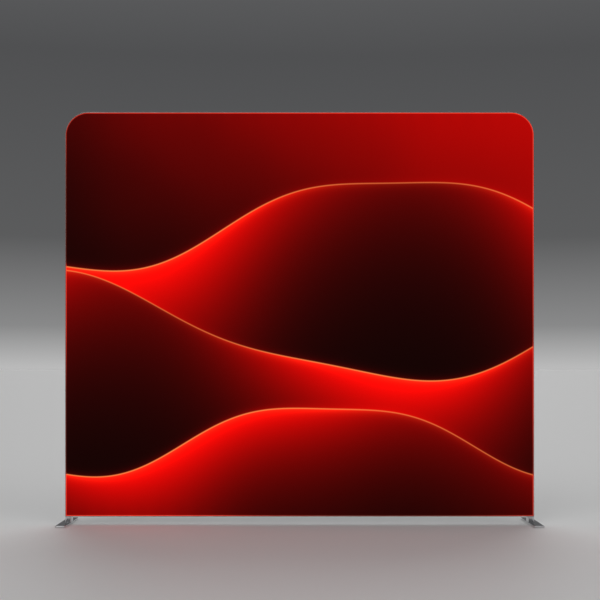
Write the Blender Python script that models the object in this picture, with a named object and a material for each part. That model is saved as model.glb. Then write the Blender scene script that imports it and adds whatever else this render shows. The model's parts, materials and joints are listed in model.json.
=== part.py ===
"""A free-standing fabric lightbox display wall, modelled as the pieces it comes apart into.

Metres, +Z up, the lit front towards -Y, the origin on the floor under the middle of the wall.
"""

from math import cos, floor, pi, radians, sin

import bmesh
import bpy
from mathutils import Matrix, Vector

# Clearances between pieces, and how far a cutting shape runs past what it cuts
CLEARANCE = 0.0003
BORE_CLEARANCE = 0.0005
OVERRUN = 0.002

# The wall, outside to outside
WALL_WIDTH = 2.440
FRAME_HEIGHT = 2.104
FRAME_DEPTH = 0.060
CORNER_RADIUS = 0.120
BEND_LEG = 0.080

# The frame's extruded section: lips, edge grooves and the chamber that the splices fill
PROFILE_HEIGHT = 0.030
PROFILE_WALL = 0.002
WEB_THICKNESS = 0.0018
LIP_THICKNESS = 0.003
LIP_CHAMFER = 0.0008
GROOVE_WIDTH = 0.0036
GROOVE_DEPTH = 0.013
RIB_THICKNESS = 0.0016
RIB_STEP = 0.0011

# Splices and corner brackets
SPLICE_LENGTH = 0.150
SPLICE_WALL = 0.003
BRACKET_ARM = 0.110
CORNER_LOCK_HEIGHT = 0.075
SLOT_WIDTH = 0.007

# Quarter-turn locks
LOCK_OFFSET = 0.045
SHAFT_RADIUS = 0.003
HEAD_LENGTH = 0.015
HEAD_WIDTH = 0.0055
HEAD_THICKNESS = 0.003
COLLAR_RADIUS = 0.007
COLLAR_THICKNESS = 0.002
WING_LENGTH = 0.026
WING_THICKNESS = 0.005
WING_HEIGHT = 0.009
WING_CORNER = 0.003

# Feet
PLATE_WIDTH = 0.055
PLATE_LENGTH = 0.350
PLATE_THICKNESS = 0.010
PLATE_CORNER = 0.009
PLATE_BEVEL = 0.0012
POST_WIDTH = 0.030
POST_DEPTH = 0.058
POST_HEIGHT = 0.0294
POST_CORNER = 0.003
BOLT_RADIUS = 0.004
BOLT_HEAD_RADIUS = 0.008
BOLT_HEAD_RECESS = 0.0005
BOLT_RIM = 0.0006
SOCKET_RADIUS = 0.0025
SOCKET_DEPTH = 0.0025
BOSS_RADIUS = 0.008
BOSS_HEIGHT = 0.007

# Fabric sheets
FABRIC_THICKNESS = 0.0008
SILICONE_WIDTH = 0.003

# Edge-lighting bars
BAR_FROM_CENTRE = 0.075
BAR_WIDTH = 0.024
BAR_HEIGHT = 0.008
BAR_WALL = 0.002
BAR_TO_LOCK = 0.010
LENS_PITCH = 0.100
LENS_RADIUS = 0.008
LENS_HEIGHT = 0.009
BOARD_WIDTH = 0.018
BOARD_THICKNESS = 0.0016
BOARD_INSET = 0.015

# Driver, inlet and switch
DRIVER_LENGTH = 0.280
DRIVER_WIDTH = 0.030
DRIVER_HEIGHT = 0.021
DRIVER_FOOT = 0.012
DRIVER_FOOT_THICKNESS = 0.002
DRIVER_BEVEL = 0.0015
MAINS_RISE = 0.095
GLAND_RADIUS = 0.0045
GLAND_LENGTH = 0.005
GLAND_SPREAD = 0.007
INLET_CENTRE_HEIGHT = 0.220
FLANGE_WIDTH = 0.031
FLANGE_HEIGHT = 0.055
FLANGE_THICKNESS = 0.002
FLANGE_CORNER = 0.003
INLET_WIDTH = 0.027
INLET_HEIGHT = 0.047
INLET_DEPTH = 0.024
SOCKET_WIDTH = 0.0244
SOCKET_HEIGHT = 0.0168
SOCKET_CHAMFER = 0.0045
SOCKET_HOLLOW = 0.020
SOCKET_DROP = 0.0105
PIN_LENGTH = 0.014
PIN_WIDTH = 0.004
PIN_THICKNESS = 0.002
PIN_SPREAD = 0.007
PIN_STEP = 0.004
ROCKER_LENGTH = 0.018
ROCKER_WIDTH = 0.0125
ROCKER_PIVOT_DEPTH = 0.005
ROCKER_REACH = 0.0085
ROCKER_DISH = 0.0012
ROCKER_SWING = 0.0015
ROCKER_KEEL = 0.004
WELL_DEPTH = 0.0125
WINDOW_LENGTH = 0.020
WINDOW_WIDTH = 0.020
ROCKER_TILT = radians(7)

# Leads
LEAD_RADIUS = 0.0025
LEAD_INSET = 0.020
LEAD_BEND = 0.012

# Centre support
TUBE_WIDTH = 0.020
TUBE_DEPTH = 0.030
TUBE_WALL = 0.002
TUBE_OVERLAP = 0.120
BUTTON_RADIUS = 0.004
BUTTON_PROUD = 0.0015
BUTTON_BELOW_RIM = 0.040
SHOE_LENGTH = 0.050
SHOE_WIDTH = 0.029
SHOE_THICKNESS = 0.004
PLUG_LENGTH = 0.025

# Facets
BEND_STEPS = 12
ROUND_SIDES = 16
HOLE_SIDES = 12
LENS_SIDES = 8
CORNER_STEPS = 4
LEAD_STEPS = 3
SHARP_ANGLE = radians(30)

# Worked out from the sizes above
HALF_WIDTH = WALL_WIDTH / 2
HALF_DEPTH = FRAME_DEPTH / 2
FOOT_HEIGHT = PLATE_THICKNESS + CLEARANCE + POST_HEIGHT + CLEARANCE
FRAME_BOTTOM = FOOT_HEIGHT
FRAME_TOP = FRAME_BOTTOM + FRAME_HEIGHT
BEND_SEAM_X = HALF_WIDTH - CORNER_RADIUS - BEND_LEG
BEND_SEAM_Z = FRAME_TOP - CORNER_RADIUS - BEND_LEG
UPRIGHT_SEAM = (FRAME_BOTTOM + BEND_SEAM_Z) / 2
HALF_SEAM = CLEARANCE / 2
WEB_FACE = HALF_DEPTH - GROOVE_DEPTH
CHAMBER_HALF_DEPTH = WEB_FACE - WEB_THICKNESS
GROOVE_INNER = LIP_THICKNESS + GROOVE_WIDTH
RIB_INNER = GROOVE_INNER + RIB_THICKNESS
SPLICE_OUTER = PROFILE_WALL + CLEARANCE
SPLICE_INNER = PROFILE_HEIGHT - PROFILE_WALL - CLEARANCE
SPLICE_HALF_DEPTH = CHAMBER_HALF_DEPTH - CLEARANCE
FOOT_X = HALF_WIDTH - POST_WIDTH / 2
PLATE_SHIFT = (PLATE_WIDTH - POST_WIDTH) / 2
FABRIC_INSET = LIP_THICKNESS + CLEARANCE
LOCK_SPAN = LOCK_OFFSET + WING_LENGTH / 2 + BAR_TO_LOCK
LENS_COUNT = floor((BEND_SEAM_X - LOCK_SPAN - BAR_FROM_CENTRE) / LENS_PITCH)
BAR_LENGTH = LENS_COUNT * LENS_PITCH
BAR_CENTRE = BAR_FROM_CENTRE + BAR_LENGTH / 2
BAR_FAR_END = BAR_FROM_CENTRE + BAR_LENGTH
BOARD_LEVEL = CLEARANCE + BAR_WALL + CLEARANCE
LEAD_SIDE = WEB_FACE + CLEARANCE + LEAD_RADIUS
LEAD_LEVEL = LEAD_INSET - PROFILE_HEIGHT
ROCKER_LIFT = INLET_HEIGHT / 4
MAINS_GLAND_HEIGHT = INLET_CENTRE_HEIGHT + MAINS_RISE
DRIVER_LOW_END = MAINS_GLAND_HEIGHT + CLEARANCE + GLAND_LENGTH
DRIVER_CENTRE_HEIGHT = DRIVER_LOW_END + DRIVER_LENGTH / 2

# A lens's outline, as shares of its radius and height
LENS_SHARES = ((1, 0.28), (0.82, 0.66), (0.48, 0.92), (0.2, 1))

# A lead's way out of a bar: shares of its bend along the rail, of its side step and of its drop
EXIT_SHARES = (
    (0, 0, 0),
    (0.6, 0.15, 0),
    (1, 0.5, 0.01),
    (1.2, 0.9, 0.06),
    (1.5, 1.12, 0.35),
    (2.2, 1.02, 0.85),
    (3.2, 1, 1),
    (5, 1, 1),
)

# The output leads' ways out of the driver: shares of the bend, of the side step and of the drop
LOWER_LEAD_SHARES = (
    (0, 0, 0),
    (1.2, 0.06, 0.03),
    (2.5, 0.45, 0.14),
    (2.9, 1, 0.3),
    (2.2, 1.26, 0.62),
    (0.4, 1.1, 0.93),
    (-1.8, 1, 1),
    (-4, 1, 1),
)
UPPER_LEAD_SHARES = (
    (0, 0, 0),
    (2.5, 0, 0),
    (5, 0.2, 0),
    (6.8, 0.6, 0.08),
    (8, 0.96, 0.26),
    (9, 1.08, 0.5),
    (10.2, 1.03, 0.85),
    (12, 1, 1),
    (14, 1, 1),
)

# The mains lead's way from the inlet up to the driver: shares of its rise and of its level
MAINS_SHARES = ((0, 0), (0.01, 0.35), (0.05, 0.72), (0.2, 1.02), (0.5, 1.1), (0.8, 1.02), (1, 1))

# Each side of the frame: how its local frame turns, which way that frame's X runs, and outward
TURNS = {"bottom": 0, "left": pi / 2, "top": pi, "right": -pi / 2}
FORWARD = {"bottom": 1, "left": -1, "top": -1, "right": 1}
OUTWARD = {"bottom": (0, -1), "left": (-1, 0), "top": (0, 1), "right": (1, 0)}

# Where the frame's straight pieces are spliced, and the side of the seam that holds the lock
SPLICES = {
    "bottom_mid": ("bottom", 0, 1),
    "top_mid": ("top", 0, 1),
    "left_mid": ("left", UPRIGHT_SEAM, 1),
    "right_mid": ("right", UPRIGHT_SEAM, 1),
    "bend_left_side": ("left", BEND_SEAM_Z, -1),
    "bend_left_top": ("top", -BEND_SEAM_X, 1),
    "bend_right_top": ("top", BEND_SEAM_X, -1),
    "bend_right_side": ("right", BEND_SEAM_Z, -1),
}
LOCKS = {name: (side, seam + way * LOCK_OFFSET) for name, (side, seam, way) in SPLICES.items()}
LOCKS["corner_left"] = ("left", FRAME_BOTTOM + CORNER_LOCK_HEIGHT)
LOCKS["corner_right"] = ("right", FRAME_BOTTOM + CORNER_LOCK_HEIGHT)

# Colour, roughness and metallic value of each finish
FINISHES = {
    "anodised_aluminium": ((0.62, 0.62, 0.64), 0.32, 1.0),
    "mill_aluminium": ((0.55, 0.55, 0.57), 0.45, 1.0),
    "polished_chrome": ((0.78, 0.78, 0.80), 0.10, 1.0),
    "zinc_steel": ((0.52, 0.53, 0.55), 0.35, 1.0),
    "red_black_print": ((0.35, 0.012, 0.006), 0.85, 0.0),
    "charcoal_liner": ((0.030, 0.030, 0.032), 0.90, 0.0),
    "clear_silicone": ((0.70, 0.70, 0.68), 0.40, 0.0),
    "clear_lens": ((0.85, 0.87, 0.88), 0.15, 0.0),
    "white_driver": ((0.75, 0.75, 0.73), 0.50, 0.0),
    "black_nylon": ((0.020, 0.020, 0.022), 0.45, 0.0),
    "black_switch": ((0.012, 0.012, 0.013), 0.30, 0.0),
    "grey_lead": ((0.060, 0.060, 0.062), 0.55, 0.0),
}


def clear_scene():
    for obj in list(bpy.data.objects):
        bpy.data.objects.remove(obj, do_unlink=True)


def new_material(name, finish):
    colour, roughness, metallic = FINISHES[finish]
    material = bpy.data.materials.new(f"{name}_{finish}")
    material.use_nodes = True
    shader = material.node_tree.nodes["Principled BSDF"]
    shader.inputs["Base Color"].default_value = (*colour, 1)
    shader.inputs["Roughness"].default_value = roughness
    shader.inputs["Metallic"].default_value = metallic
    return material


def add_part(name, data, finish, place=None):
    """An object for one sub-part, with a material of its own."""
    obj = bpy.data.objects.new(name, data)
    bpy.context.scene.collection.objects.link(obj)
    if place is not None:
        obj.matrix_world = place
    if not data.materials:
        data.materials.append(None)
    obj.material_slots[0].link = "OBJECT"
    obj.material_slots[0].material = new_material(name, finish)
    return obj


def mesh_of(bm, name):
    """A shaded mesh from a bmesh, with its faces turned outwards."""
    bmesh.ops.recalc_face_normals(bm, faces=bm.faces)
    mesh = bpy.data.meshes.new(name)
    bm.to_mesh(mesh)
    bm.free()
    mesh.shade_smooth()
    mesh.set_sharp_from_angle(angle=SHARP_ANGLE)
    return mesh


def combine(body, tool, operation):
    """The mesh that is left when the tool mesh is cut from the body mesh or joined to it."""
    host = bpy.data.objects.new("host", body)
    other = bpy.data.objects.new("tool", tool)
    for obj in (host, other):
        bpy.context.scene.collection.objects.link(obj)
    modifier = host.modifiers.new("combine", "BOOLEAN")
    modifier.operation = operation
    modifier.object = other
    graph = bpy.context.evaluated_depsgraph_get()
    result = bpy.data.meshes.new_from_object(host.evaluated_get(graph))
    result.name = body.name
    for obj in (host, other):
        bpy.data.objects.remove(obj, do_unlink=True)
    result.set_sharp_from_angle(angle=SHARP_ANGLE)
    return result


def add_box(bm, size, centre, matrix=Matrix()):
    placed = matrix @ Matrix.Translation(centre) @ Matrix.Diagonal((*size, 1))
    bmesh.ops.create_cube(bm, size=1, matrix=placed)


def add_loft(bm, outlines, matrix=Matrix()):
    """A solid through (outline, height) sections, each a list of as many (x, y) points."""
    rings = []
    for outline, height in outlines:
        rings.append([bm.verts.new(matrix @ Vector((x, y, height))) for x, y in outline])
    for low, high in zip(rings, rings[1:]):
        for i in range(len(low)):
            j = (i + 1) % len(low)
            bm.faces.new((low[i], low[j], high[j], high[i]))
    bm.faces.new(rings[0])
    bm.faces.new(rings[-1])


def circle(radius, sides, x=0, y=0):
    return [
        (x + radius * cos(2 * pi * k / sides), y + radius * sin(2 * pi * k / sides))
        for k in range(sides)
    ]


def add_turned(bm, profile, sides, matrix=Matrix()):
    """A solid of revolution about Z through (radius, height) points."""
    add_loft(bm, [(circle(radius, sides), height) for radius, height in profile], matrix)


def rounded(width, length, radius):
    """A rectangle's outline with round corners."""
    outline = []
    corners = ((1, 1, 0), (-1, 1, pi / 2), (-1, -1, pi), (1, -1, 3 * pi / 2))
    for along_x, along_y, start in corners:
        centre_x = along_x * (width / 2 - radius)
        centre_y = along_y * (length / 2 - radius)
        for k in range(CORNER_STEPS + 1):
            angle = start + pi / 2 * k / CORNER_STEPS
            outline.append((centre_x + radius * cos(angle), centre_y + radius * sin(angle)))
    return outline


def rectangle(width, length):
    x = width / 2
    y = length / 2
    return [(x, y), (-x, y), (-x, -y), (x, -y)]


# Turns an outline's (x, y) and height into (y, z) and x, so that a loft runs along X
ALONG_X = Matrix(((0, 0, 1, 0), (1, 0, 0, 0), (0, 1, 0, 0), (0, 0, 0, 1)))

# Turns an outline's (x, y) and height into (x, z) and -y, so that a loft runs along Y
ALONG_Y = Matrix(((1, 0, 0, 0), (0, 0, -1, 0), (0, 1, 0, 0), (0, 0, 0, 1)))


def add_sweep(bm, loops, stations, closed=False):
    """A solid whose section runs through stations.

    The section's loops are lists of (u, v): u is measured outwards from the wall's outer face,
    and v is the depth. A station is a point (x, z) on the outer face and the step (x, z) that
    one unit of u takes there.
    """
    rings = []
    for x, z, step_x, step_z in stations:
        ring = []
        for loop in loops:
            ring.append([bm.verts.new((x + u * step_x, v, z + u * step_z)) for u, v in loop])
        rings.append(ring)
    following = rings[1:] + rings[:1] if closed else rings[1:]
    for first, second in zip(rings, following):
        for a, b in zip(first, second):
            for i in range(len(a)):
                j = (i + 1) % len(a)
                bm.faces.new((a[i], a[j], b[j], b[i]))
    if closed:
        return
    for ring in (rings[0], rings[-1]):
        edges = []
        for loop in ring:
            for i in range(len(loop)):
                edges.append(bm.edges.get((loop[i], loop[(i + 1) % len(loop)])))
        bmesh.ops.triangle_fill(bm, use_beauty=True, edges=edges)


def rail_matrix(side, along):
    """A local frame on the middle of a rail's inner face, Z into the wall and Y to the rear."""
    places = {
        "bottom": (along, 0, FRAME_BOTTOM + PROFILE_HEIGHT),
        "left": (PROFILE_HEIGHT - HALF_WIDTH, 0, along),
        "top": (along, 0, FRAME_TOP - PROFILE_HEIGHT),
        "right": (HALF_WIDTH - PROFILE_HEIGHT, 0, along),
    }
    return Matrix.Translation(places[side]) @ Matrix.Rotation(TURNS[side], 4, "Y")


def seam_matrix(side, along, way):
    """The rail's local frame at a seam, turned so that its X runs the given way from the seam."""
    turn = 0 if FORWARD[side] == way else pi
    return rail_matrix(side, along) @ Matrix.Rotation(turn, 4, "Z")


def outer_matrix(side, along):
    """A local frame on the middle of a rail's outer face, Z outwards and Y to the front."""
    down = Matrix.Translation((0, 0, -PROFILE_HEIGHT))
    return rail_matrix(side, along) @ down @ Matrix.Rotation(pi, 4, "X")


def profile_loops():
    """The frame's section: the outer outline, then the chamber."""
    front = [
        (0, LIP_CHAMFER - HALF_DEPTH),
        (-LIP_CHAMFER, -HALF_DEPTH),
        (-LIP_THICKNESS, -HALF_DEPTH),
        (-LIP_THICKNESS, -WEB_FACE),
        (-GROOVE_INNER, -WEB_FACE),
        (-GROOVE_INNER, RIB_STEP - HALF_DEPTH),
        (-RIB_INNER, RIB_STEP - HALF_DEPTH),
        (-RIB_INNER, -WEB_FACE),
        (-PROFILE_HEIGHT, -WEB_FACE),
    ]
    rear = [(u, -v) for u, v in reversed(front)]
    inner = PROFILE_WALL - PROFILE_HEIGHT
    chamber = [
        (-PROFILE_WALL, -CHAMBER_HALF_DEPTH),
        (inner, -CHAMBER_HALF_DEPTH),
        (inner, CHAMBER_HALF_DEPTH),
        (-PROFILE_WALL, CHAMBER_HALF_DEPTH),
    ]
    return [front + rear, chamber]


def splice_loops():
    """The section of a splice, sliding in the chamber: its outside, then its bore."""
    loops = []
    for wall in (0, SPLICE_WALL):
        outer = -SPLICE_OUTER - wall
        inner = wall - SPLICE_INNER
        depth = SPLICE_HALF_DEPTH - wall
        loops.append([(outer, -depth), (inner, -depth), (inner, depth), (outer, depth)])
    return loops


def station(side, along):
    """A square cut across a rail."""
    out_x, out_z = OUTWARD[side]
    x = HALF_WIDTH * out_x if out_x else along
    heights = {"bottom": FRAME_BOTTOM, "top": FRAME_TOP}
    return x, heights.get(side, along), out_x, out_z


def mitre(hand, lift=0):
    """The diagonal cut at a bottom corner."""
    return hand * HALF_WIDTH, FRAME_BOTTOM + lift, hand, -1


def bend_stations(hand):
    """The round top corner, from the upright to the top rail."""
    stations = []
    for k in range(BEND_STEPS + 1):
        angle = pi / 2 * k / BEND_STEPS
        x = HALF_WIDTH - CORNER_RADIUS + CORNER_RADIUS * cos(angle)
        z = FRAME_TOP - CORNER_RADIUS + CORNER_RADIUS * sin(angle)
        stations.append((hand * x, z, hand * cos(angle), sin(angle)))
    return stations


def wall_outline():
    """Stations once round the whole wall, from the bottom left corner."""
    return [mitre(-1), mitre(1), *bend_stations(1), *reversed(bend_stations(-1))]


def frame_stations():
    """The frame's ten lengths of extrusion, each by the stations it runs through."""
    low = UPRIGHT_SEAM - HALF_SEAM
    high = UPRIGHT_SEAM + HALF_SEAM
    under_bend = BEND_SEAM_Z - HALF_SEAM
    over_seam = BEND_SEAM_Z + HALF_SEAM
    pieces = {}
    for name, hand in (("left", -1), ("right", 1)):
        middle = hand * HALF_SEAM
        beside_bend = hand * (BEND_SEAM_X - HALF_SEAM)
        bend_end = hand * (BEND_SEAM_X + HALF_SEAM)
        foot = mitre(hand, CLEARANCE + HALF_SEAM)
        pieces[f"bottom_rail_{name}"] = [station("bottom", middle), mitre(hand)]
        pieces[f"{name}_upright_lower"] = [foot, station(name, low)]
        pieces[f"{name}_upright_upper"] = [station(name, high), station(name, under_bend)]
        bend = [station(name, over_seam), *bend_stations(hand), station("top", bend_end)]
        pieces[f"top_bend_{name}"] = bend
        pieces[f"top_rail_{name}"] = [station("top", middle), station("top", beside_bend)]
    return pieces


def lock_holes(bm, side, start, end):
    """Cutters for the lock bores in one straight length's inner wall."""
    low, high = sorted((start, end))
    for lock_side, along in LOCKS.values():
        if lock_side != side or not low < along < high:
            continue
        radius = SHAFT_RADIUS + BORE_CLEARANCE
        profile = [(radius, -PROFILE_WALL - OVERRUN), (radius, OVERRUN)]
        add_turned(bm, profile, HOLE_SIDES, rail_matrix(side, along))


def bolt_hole(bm, hand, low, high):
    """A cutter for the foot bolt's bore between two heights."""
    radius = BOLT_RADIUS + CLEARANCE
    profile = [(radius, low), (radius, high)]
    add_turned(bm, profile, HOLE_SIDES, Matrix.Translation((hand * FOOT_X, 0, 0)))


def inlet_holes(bm):
    """Cutters for the inlet's cut-out and, behind it, the lead's window."""
    place = outer_matrix("right", INLET_CENTRE_HEIGHT)
    room = CLEARANCE + CLEARANCE
    size = (INLET_HEIGHT + room, INLET_WIDTH + room, PROFILE_WALL + OVERRUN + OVERRUN)
    add_box(bm, size, (0, 0, -PROFILE_WALL / 2), place)
    window = (WINDOW_LENGTH, WINDOW_WIDTH, PROFILE_WALL + OVERRUN + OVERRUN)
    add_box(bm, window, (0, 0, PROFILE_WALL / 2 - PROFILE_HEIGHT), place)


def make_frame():
    straight = {
        "bottom_rail_left": ("bottom", -HALF_WIDTH, 0),
        "bottom_rail_right": ("bottom", 0, HALF_WIDTH),
        "top_rail_left": ("top", -BEND_SEAM_X, 0),
        "top_rail_right": ("top", 0, BEND_SEAM_X),
    }
    for side in ("left", "right"):
        straight[f"{side}_upright_lower"] = (side, FRAME_BOTTOM, UPRIGHT_SEAM)
        straight[f"{side}_upright_upper"] = (side, UPRIGHT_SEAM, BEND_SEAM_Z)
    for name, stations in frame_stations().items():
        bm = bmesh.new()
        add_sweep(bm, profile_loops(), stations)
        mesh = mesh_of(bm, name)
        holes = bmesh.new()
        if name in straight:
            lock_holes(holes, *straight[name])
        if name.startswith("bottom_rail"):
            hand = -1 if name.endswith("left") else 1
            bolt_hole(holes, hand, FRAME_BOTTOM - OVERRUN, FRAME_BOTTOM + PROFILE_WALL + OVERRUN)
        if name == "right_upright_lower":
            inlet_holes(holes)
        if holes.verts:
            mesh = combine(mesh, mesh_of(holes, "holes"), "DIFFERENCE")
        else:
            holes.free()
        add_part(name, mesh, "anodised_aluminium")


def slot_cutter(start, end, matrix):
    """A slot with a round end at start, open at end, through a splice's inner wall."""
    top = SPLICE_INNER - PROFILE_HEIGHT
    outline = [(end + OVERRUN, SLOT_WIDTH / 2)]
    for k in range(HOLE_SIDES // 2 + 1):
        angle = pi / 2 + 2 * pi * k / HOLE_SIDES
        outline.append((start + SLOT_WIDTH / 2 * cos(angle), SLOT_WIDTH / 2 * sin(angle)))
    outline.append((end + OVERRUN, -SLOT_WIDTH / 2))
    bm = bmesh.new()
    sections = [(outline, top - SPLICE_WALL - OVERRUN), (outline, top + OVERRUN)]
    add_loft(bm, sections, matrix)
    return mesh_of(bm, "slot")


def make_splices():
    """Straight splices: box sections whose slot slides past the lock's shaft."""
    half = SPLICE_LENGTH / 2
    for name, (side, seam, way) in SPLICES.items():
        bm = bmesh.new()
        add_sweep(bm, splice_loops(), [station(side, seam - half), station(side, seam + half)])
        slot = slot_cutter(LOCK_OFFSET, half, seam_matrix(side, seam, way))
        mesh = combine(mesh_of(bm, name), slot, "DIFFERENCE")
        add_part(f"splice_{name}", mesh, "mill_aluminium")


def make_corner_brackets():
    """L-shaped splices in the bottom corners, with the boss that takes the foot's bolt."""
    floor_level = FRAME_BOTTOM + SPLICE_OUTER + SPLICE_WALL
    for side, hand in (("left", -1), ("right", 1)):
        name = f"corner_bracket_{side}"
        arm = station("bottom", hand * (HALF_WIDTH - BRACKET_ARM))
        bm = bmesh.new()
        add_sweep(bm, splice_loops(), [arm, mitre(hand), station(side, FRAME_BOTTOM + BRACKET_ARM)])
        mesh = mesh_of(bm, name)
        boss = bmesh.new()
        profile = [(BOSS_RADIUS, floor_level - SPLICE_WALL / 2), (BOSS_RADIUS, floor_level + BOSS_HEIGHT)]
        add_turned(boss, profile, ROUND_SIDES, Matrix.Translation((hand * FOOT_X, 0, 0)))
        mesh = combine(mesh, mesh_of(boss, "boss"), "UNION")
        bore = bmesh.new()
        bolt_hole(bore, hand, FRAME_BOTTOM, floor_level + BOSS_HEIGHT + OVERRUN)
        mesh = combine(mesh, mesh_of(bore, "bore"), "DIFFERENCE")
        slot = slot_cutter(CORNER_LOCK_HEIGHT, BRACKET_ARM, seam_matrix(side, FRAME_BOTTOM, 1))
        mesh = combine(mesh, slot, "DIFFERENCE")
        add_part(name, mesh, "mill_aluminium")


def lock_mesh():
    """A quarter-turn lock: a hammer head under the splice's wall, a shaft, a collar and a wing."""
    head_top = -(PROFILE_WALL + CLEARANCE + SPLICE_WALL + CLEARANCE)
    head_middle = head_top - HEAD_THICKNESS / 2
    collar_top = CLEARANCE + COLLAR_THICKNESS
    wing_top = collar_top + WING_HEIGHT
    half = WING_LENGTH / 2
    neck = COLLAR_RADIUS / 2
    body = bmesh.new()
    profile = [
        (SHAFT_RADIUS, head_middle),
        (SHAFT_RADIUS, CLEARANCE),
        (COLLAR_RADIUS, CLEARANCE),
        (COLLAR_RADIUS, collar_top),
    ]
    add_turned(body, profile, HOLE_SIDES)
    ends = bmesh.new()
    add_box(ends, (HEAD_WIDTH, HEAD_LENGTH, HEAD_THICKNESS), (0, 0, head_middle))
    wing = [
        (-neck, collar_top - COLLAR_THICKNESS / 2),
        (neck, collar_top - COLLAR_THICKNESS / 2),
        (half, collar_top + WING_CORNER),
        (half, wing_top - WING_CORNER),
        (half - WING_CORNER, wing_top),
        (WING_CORNER - half, wing_top),
        (-half, wing_top - WING_CORNER),
        (-half, collar_top + WING_CORNER),
    ]
    add_loft(ends, [(wing, -WING_THICKNESS / 2), (wing, WING_THICKNESS / 2)], ALONG_Y)
    return combine(mesh_of(body, "lock"), mesh_of(ends, "ends"), "UNION")


def make_locks():
    """Ten locks with one shared mesh; each turns about its own Z."""
    mesh = lock_mesh()
    for name, (side, along) in LOCKS.items():
        add_part(f"lock_{name}", mesh, "zinc_steel", rail_matrix(side, along))


def foot_plate_mesh():
    """A flat bar with rounded corners, sunk underneath for the bolt's head.

    Its inner edge is flush with the post's inner face; the bolt is at the origin.
    """
    bm = bmesh.new()
    sections = []
    for bevel, level in (
        (PLATE_BEVEL, 0),
        (0, PLATE_BEVEL),
        (0, PLATE_THICKNESS - PLATE_BEVEL),
        (PLATE_BEVEL, PLATE_THICKNESS),
    ):
        width = PLATE_WIDTH - bevel - bevel
        length = PLATE_LENGTH - bevel - bevel
        outline = rounded(width, length, PLATE_CORNER - bevel)
        sections.append(([(x + PLATE_SHIFT, y) for x, y in outline], level))
    add_loft(bm, sections)
    sink = bmesh.new()
    head = BOLT_HEAD_RADIUS + BORE_CLEARANCE
    shaft = BOLT_RADIUS + BORE_CLEARANCE
    rim = BOLT_HEAD_RECESS + BOLT_RIM
    cone = BOLT_HEAD_RADIUS - BOLT_RADIUS
    profile = [(head, -OVERRUN), (head, rim), (shaft, rim + cone), (shaft, PLATE_THICKNESS + OVERRUN)]
    add_turned(sink, profile, ROUND_SIDES)
    return combine(mesh_of(bm, "foot_plate"), mesh_of(sink, "sink"), "DIFFERENCE")


def foot_post_mesh():
    """The block between a plate and the frame, bored for the bolt."""
    outline = rounded(POST_WIDTH, POST_DEPTH, POST_CORNER)
    low = PLATE_THICKNESS + CLEARANCE
    high = low + POST_HEIGHT
    bm = bmesh.new()
    add_loft(bm, [(outline, low), (outline, high)])
    bore = bmesh.new()
    radius = BOLT_RADIUS + BORE_CLEARANCE
    add_turned(bore, [(radius, low - OVERRUN), (radius, high + OVERRUN)], ROUND_SIDES)
    return combine(mesh_of(bm, "foot_post"), mesh_of(bore, "bore"), "DIFFERENCE")


def foot_bolt_mesh():
    """A countersunk bolt with a hexagon socket, up into the corner bracket's boss."""
    rim = BOLT_HEAD_RECESS + BOLT_RIM
    cone = BOLT_HEAD_RADIUS - BOLT_RADIUS
    top = FRAME_BOTTOM + SPLICE_OUTER + SPLICE_WALL + BOSS_HEIGHT
    chamfer = BOLT_RADIUS / 4
    profile = [
        (BOLT_HEAD_RADIUS, BOLT_HEAD_RECESS),
        (BOLT_HEAD_RADIUS, rim),
        (BOLT_RADIUS, rim + cone),
        (BOLT_RADIUS, top - chamfer),
        (BOLT_RADIUS - chamfer, top),
    ]
    bm = bmesh.new()
    add_turned(bm, profile, ROUND_SIDES)
    hexagon = circle(SOCKET_RADIUS, 6)
    socket = bmesh.new()
    sections = [(hexagon, BOLT_HEAD_RECESS - OVERRUN), (hexagon, BOLT_HEAD_RECESS + SOCKET_DEPTH)]
    add_loft(socket, sections)
    return combine(mesh_of(bm, "foot_bolt"), mesh_of(socket, "socket"), "DIFFERENCE")


def make_feet():
    """Two feet; each plate swivels about its bolt."""
    plate = foot_plate_mesh()
    post = foot_post_mesh()
    bolt = foot_bolt_mesh()
    for side, hand, turn in (("left", -1, pi), ("right", 1, 0)):
        place = Matrix.Translation((hand * FOOT_X, 0, 0)) @ Matrix.Rotation(turn, 4, "Z")
        add_part(f"foot_plate_{side}", plate, "polished_chrome", place)
        add_part(f"foot_post_{side}", post, "polished_chrome", place)
        add_part(f"foot_bolt_{side}", bolt, "zinc_steel", place)


def make_sheet(name, edge_name, facing, finish):
    """A taut fabric sheet in the frame's rim, and the silicone edge sewn round it.

    facing is 1 for the front and -1 for the rear.
    """
    outline = []
    for x, z, step_x, step_z in wall_outline():
        outline.append((x - FABRIC_INSET * step_x, z - FABRIC_INSET * step_z))
    outside = HALF_DEPTH
    inside = HALF_DEPTH - FABRIC_THICKNESS
    bm = bmesh.new()
    add_loft(bm, [(outline, facing * inside), (outline, facing * outside)], ALONG_Y)
    add_part(name, mesh_of(bm, name), finish)
    near = facing * (CLEARANCE - inside)
    deep = -facing * (WEB_FACE + CLEARANCE)
    low = -FABRIC_INSET
    high = low - SILICONE_WIDTH
    edge = bmesh.new()
    add_sweep(edge, [[(low, near), (high, near), (high, deep), (low, deep)]], wall_outline(), True)
    add_part(edge_name, mesh_of(edge, edge_name), "clear_silicone")


def bar_channel_mesh():
    """A U channel that lies along the rail's inner face."""
    half = BAR_WIDTH / 2
    inner = half - BAR_WALL
    low = CLEARANCE
    floor_level = CLEARANCE + BAR_WALL
    high = CLEARANCE + BAR_HEIGHT
    outline = [
        (-half, low),
        (half, low),
        (half, high),
        (inner, high),
        (inner, floor_level),
        (-inner, floor_level),
        (-inner, high),
        (-half, high),
    ]
    bm = bmesh.new()
    add_loft(bm, [(outline, -BAR_LENGTH / 2), (outline, BAR_LENGTH / 2)], ALONG_X)
    return mesh_of(bm, "led_channel")


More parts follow.
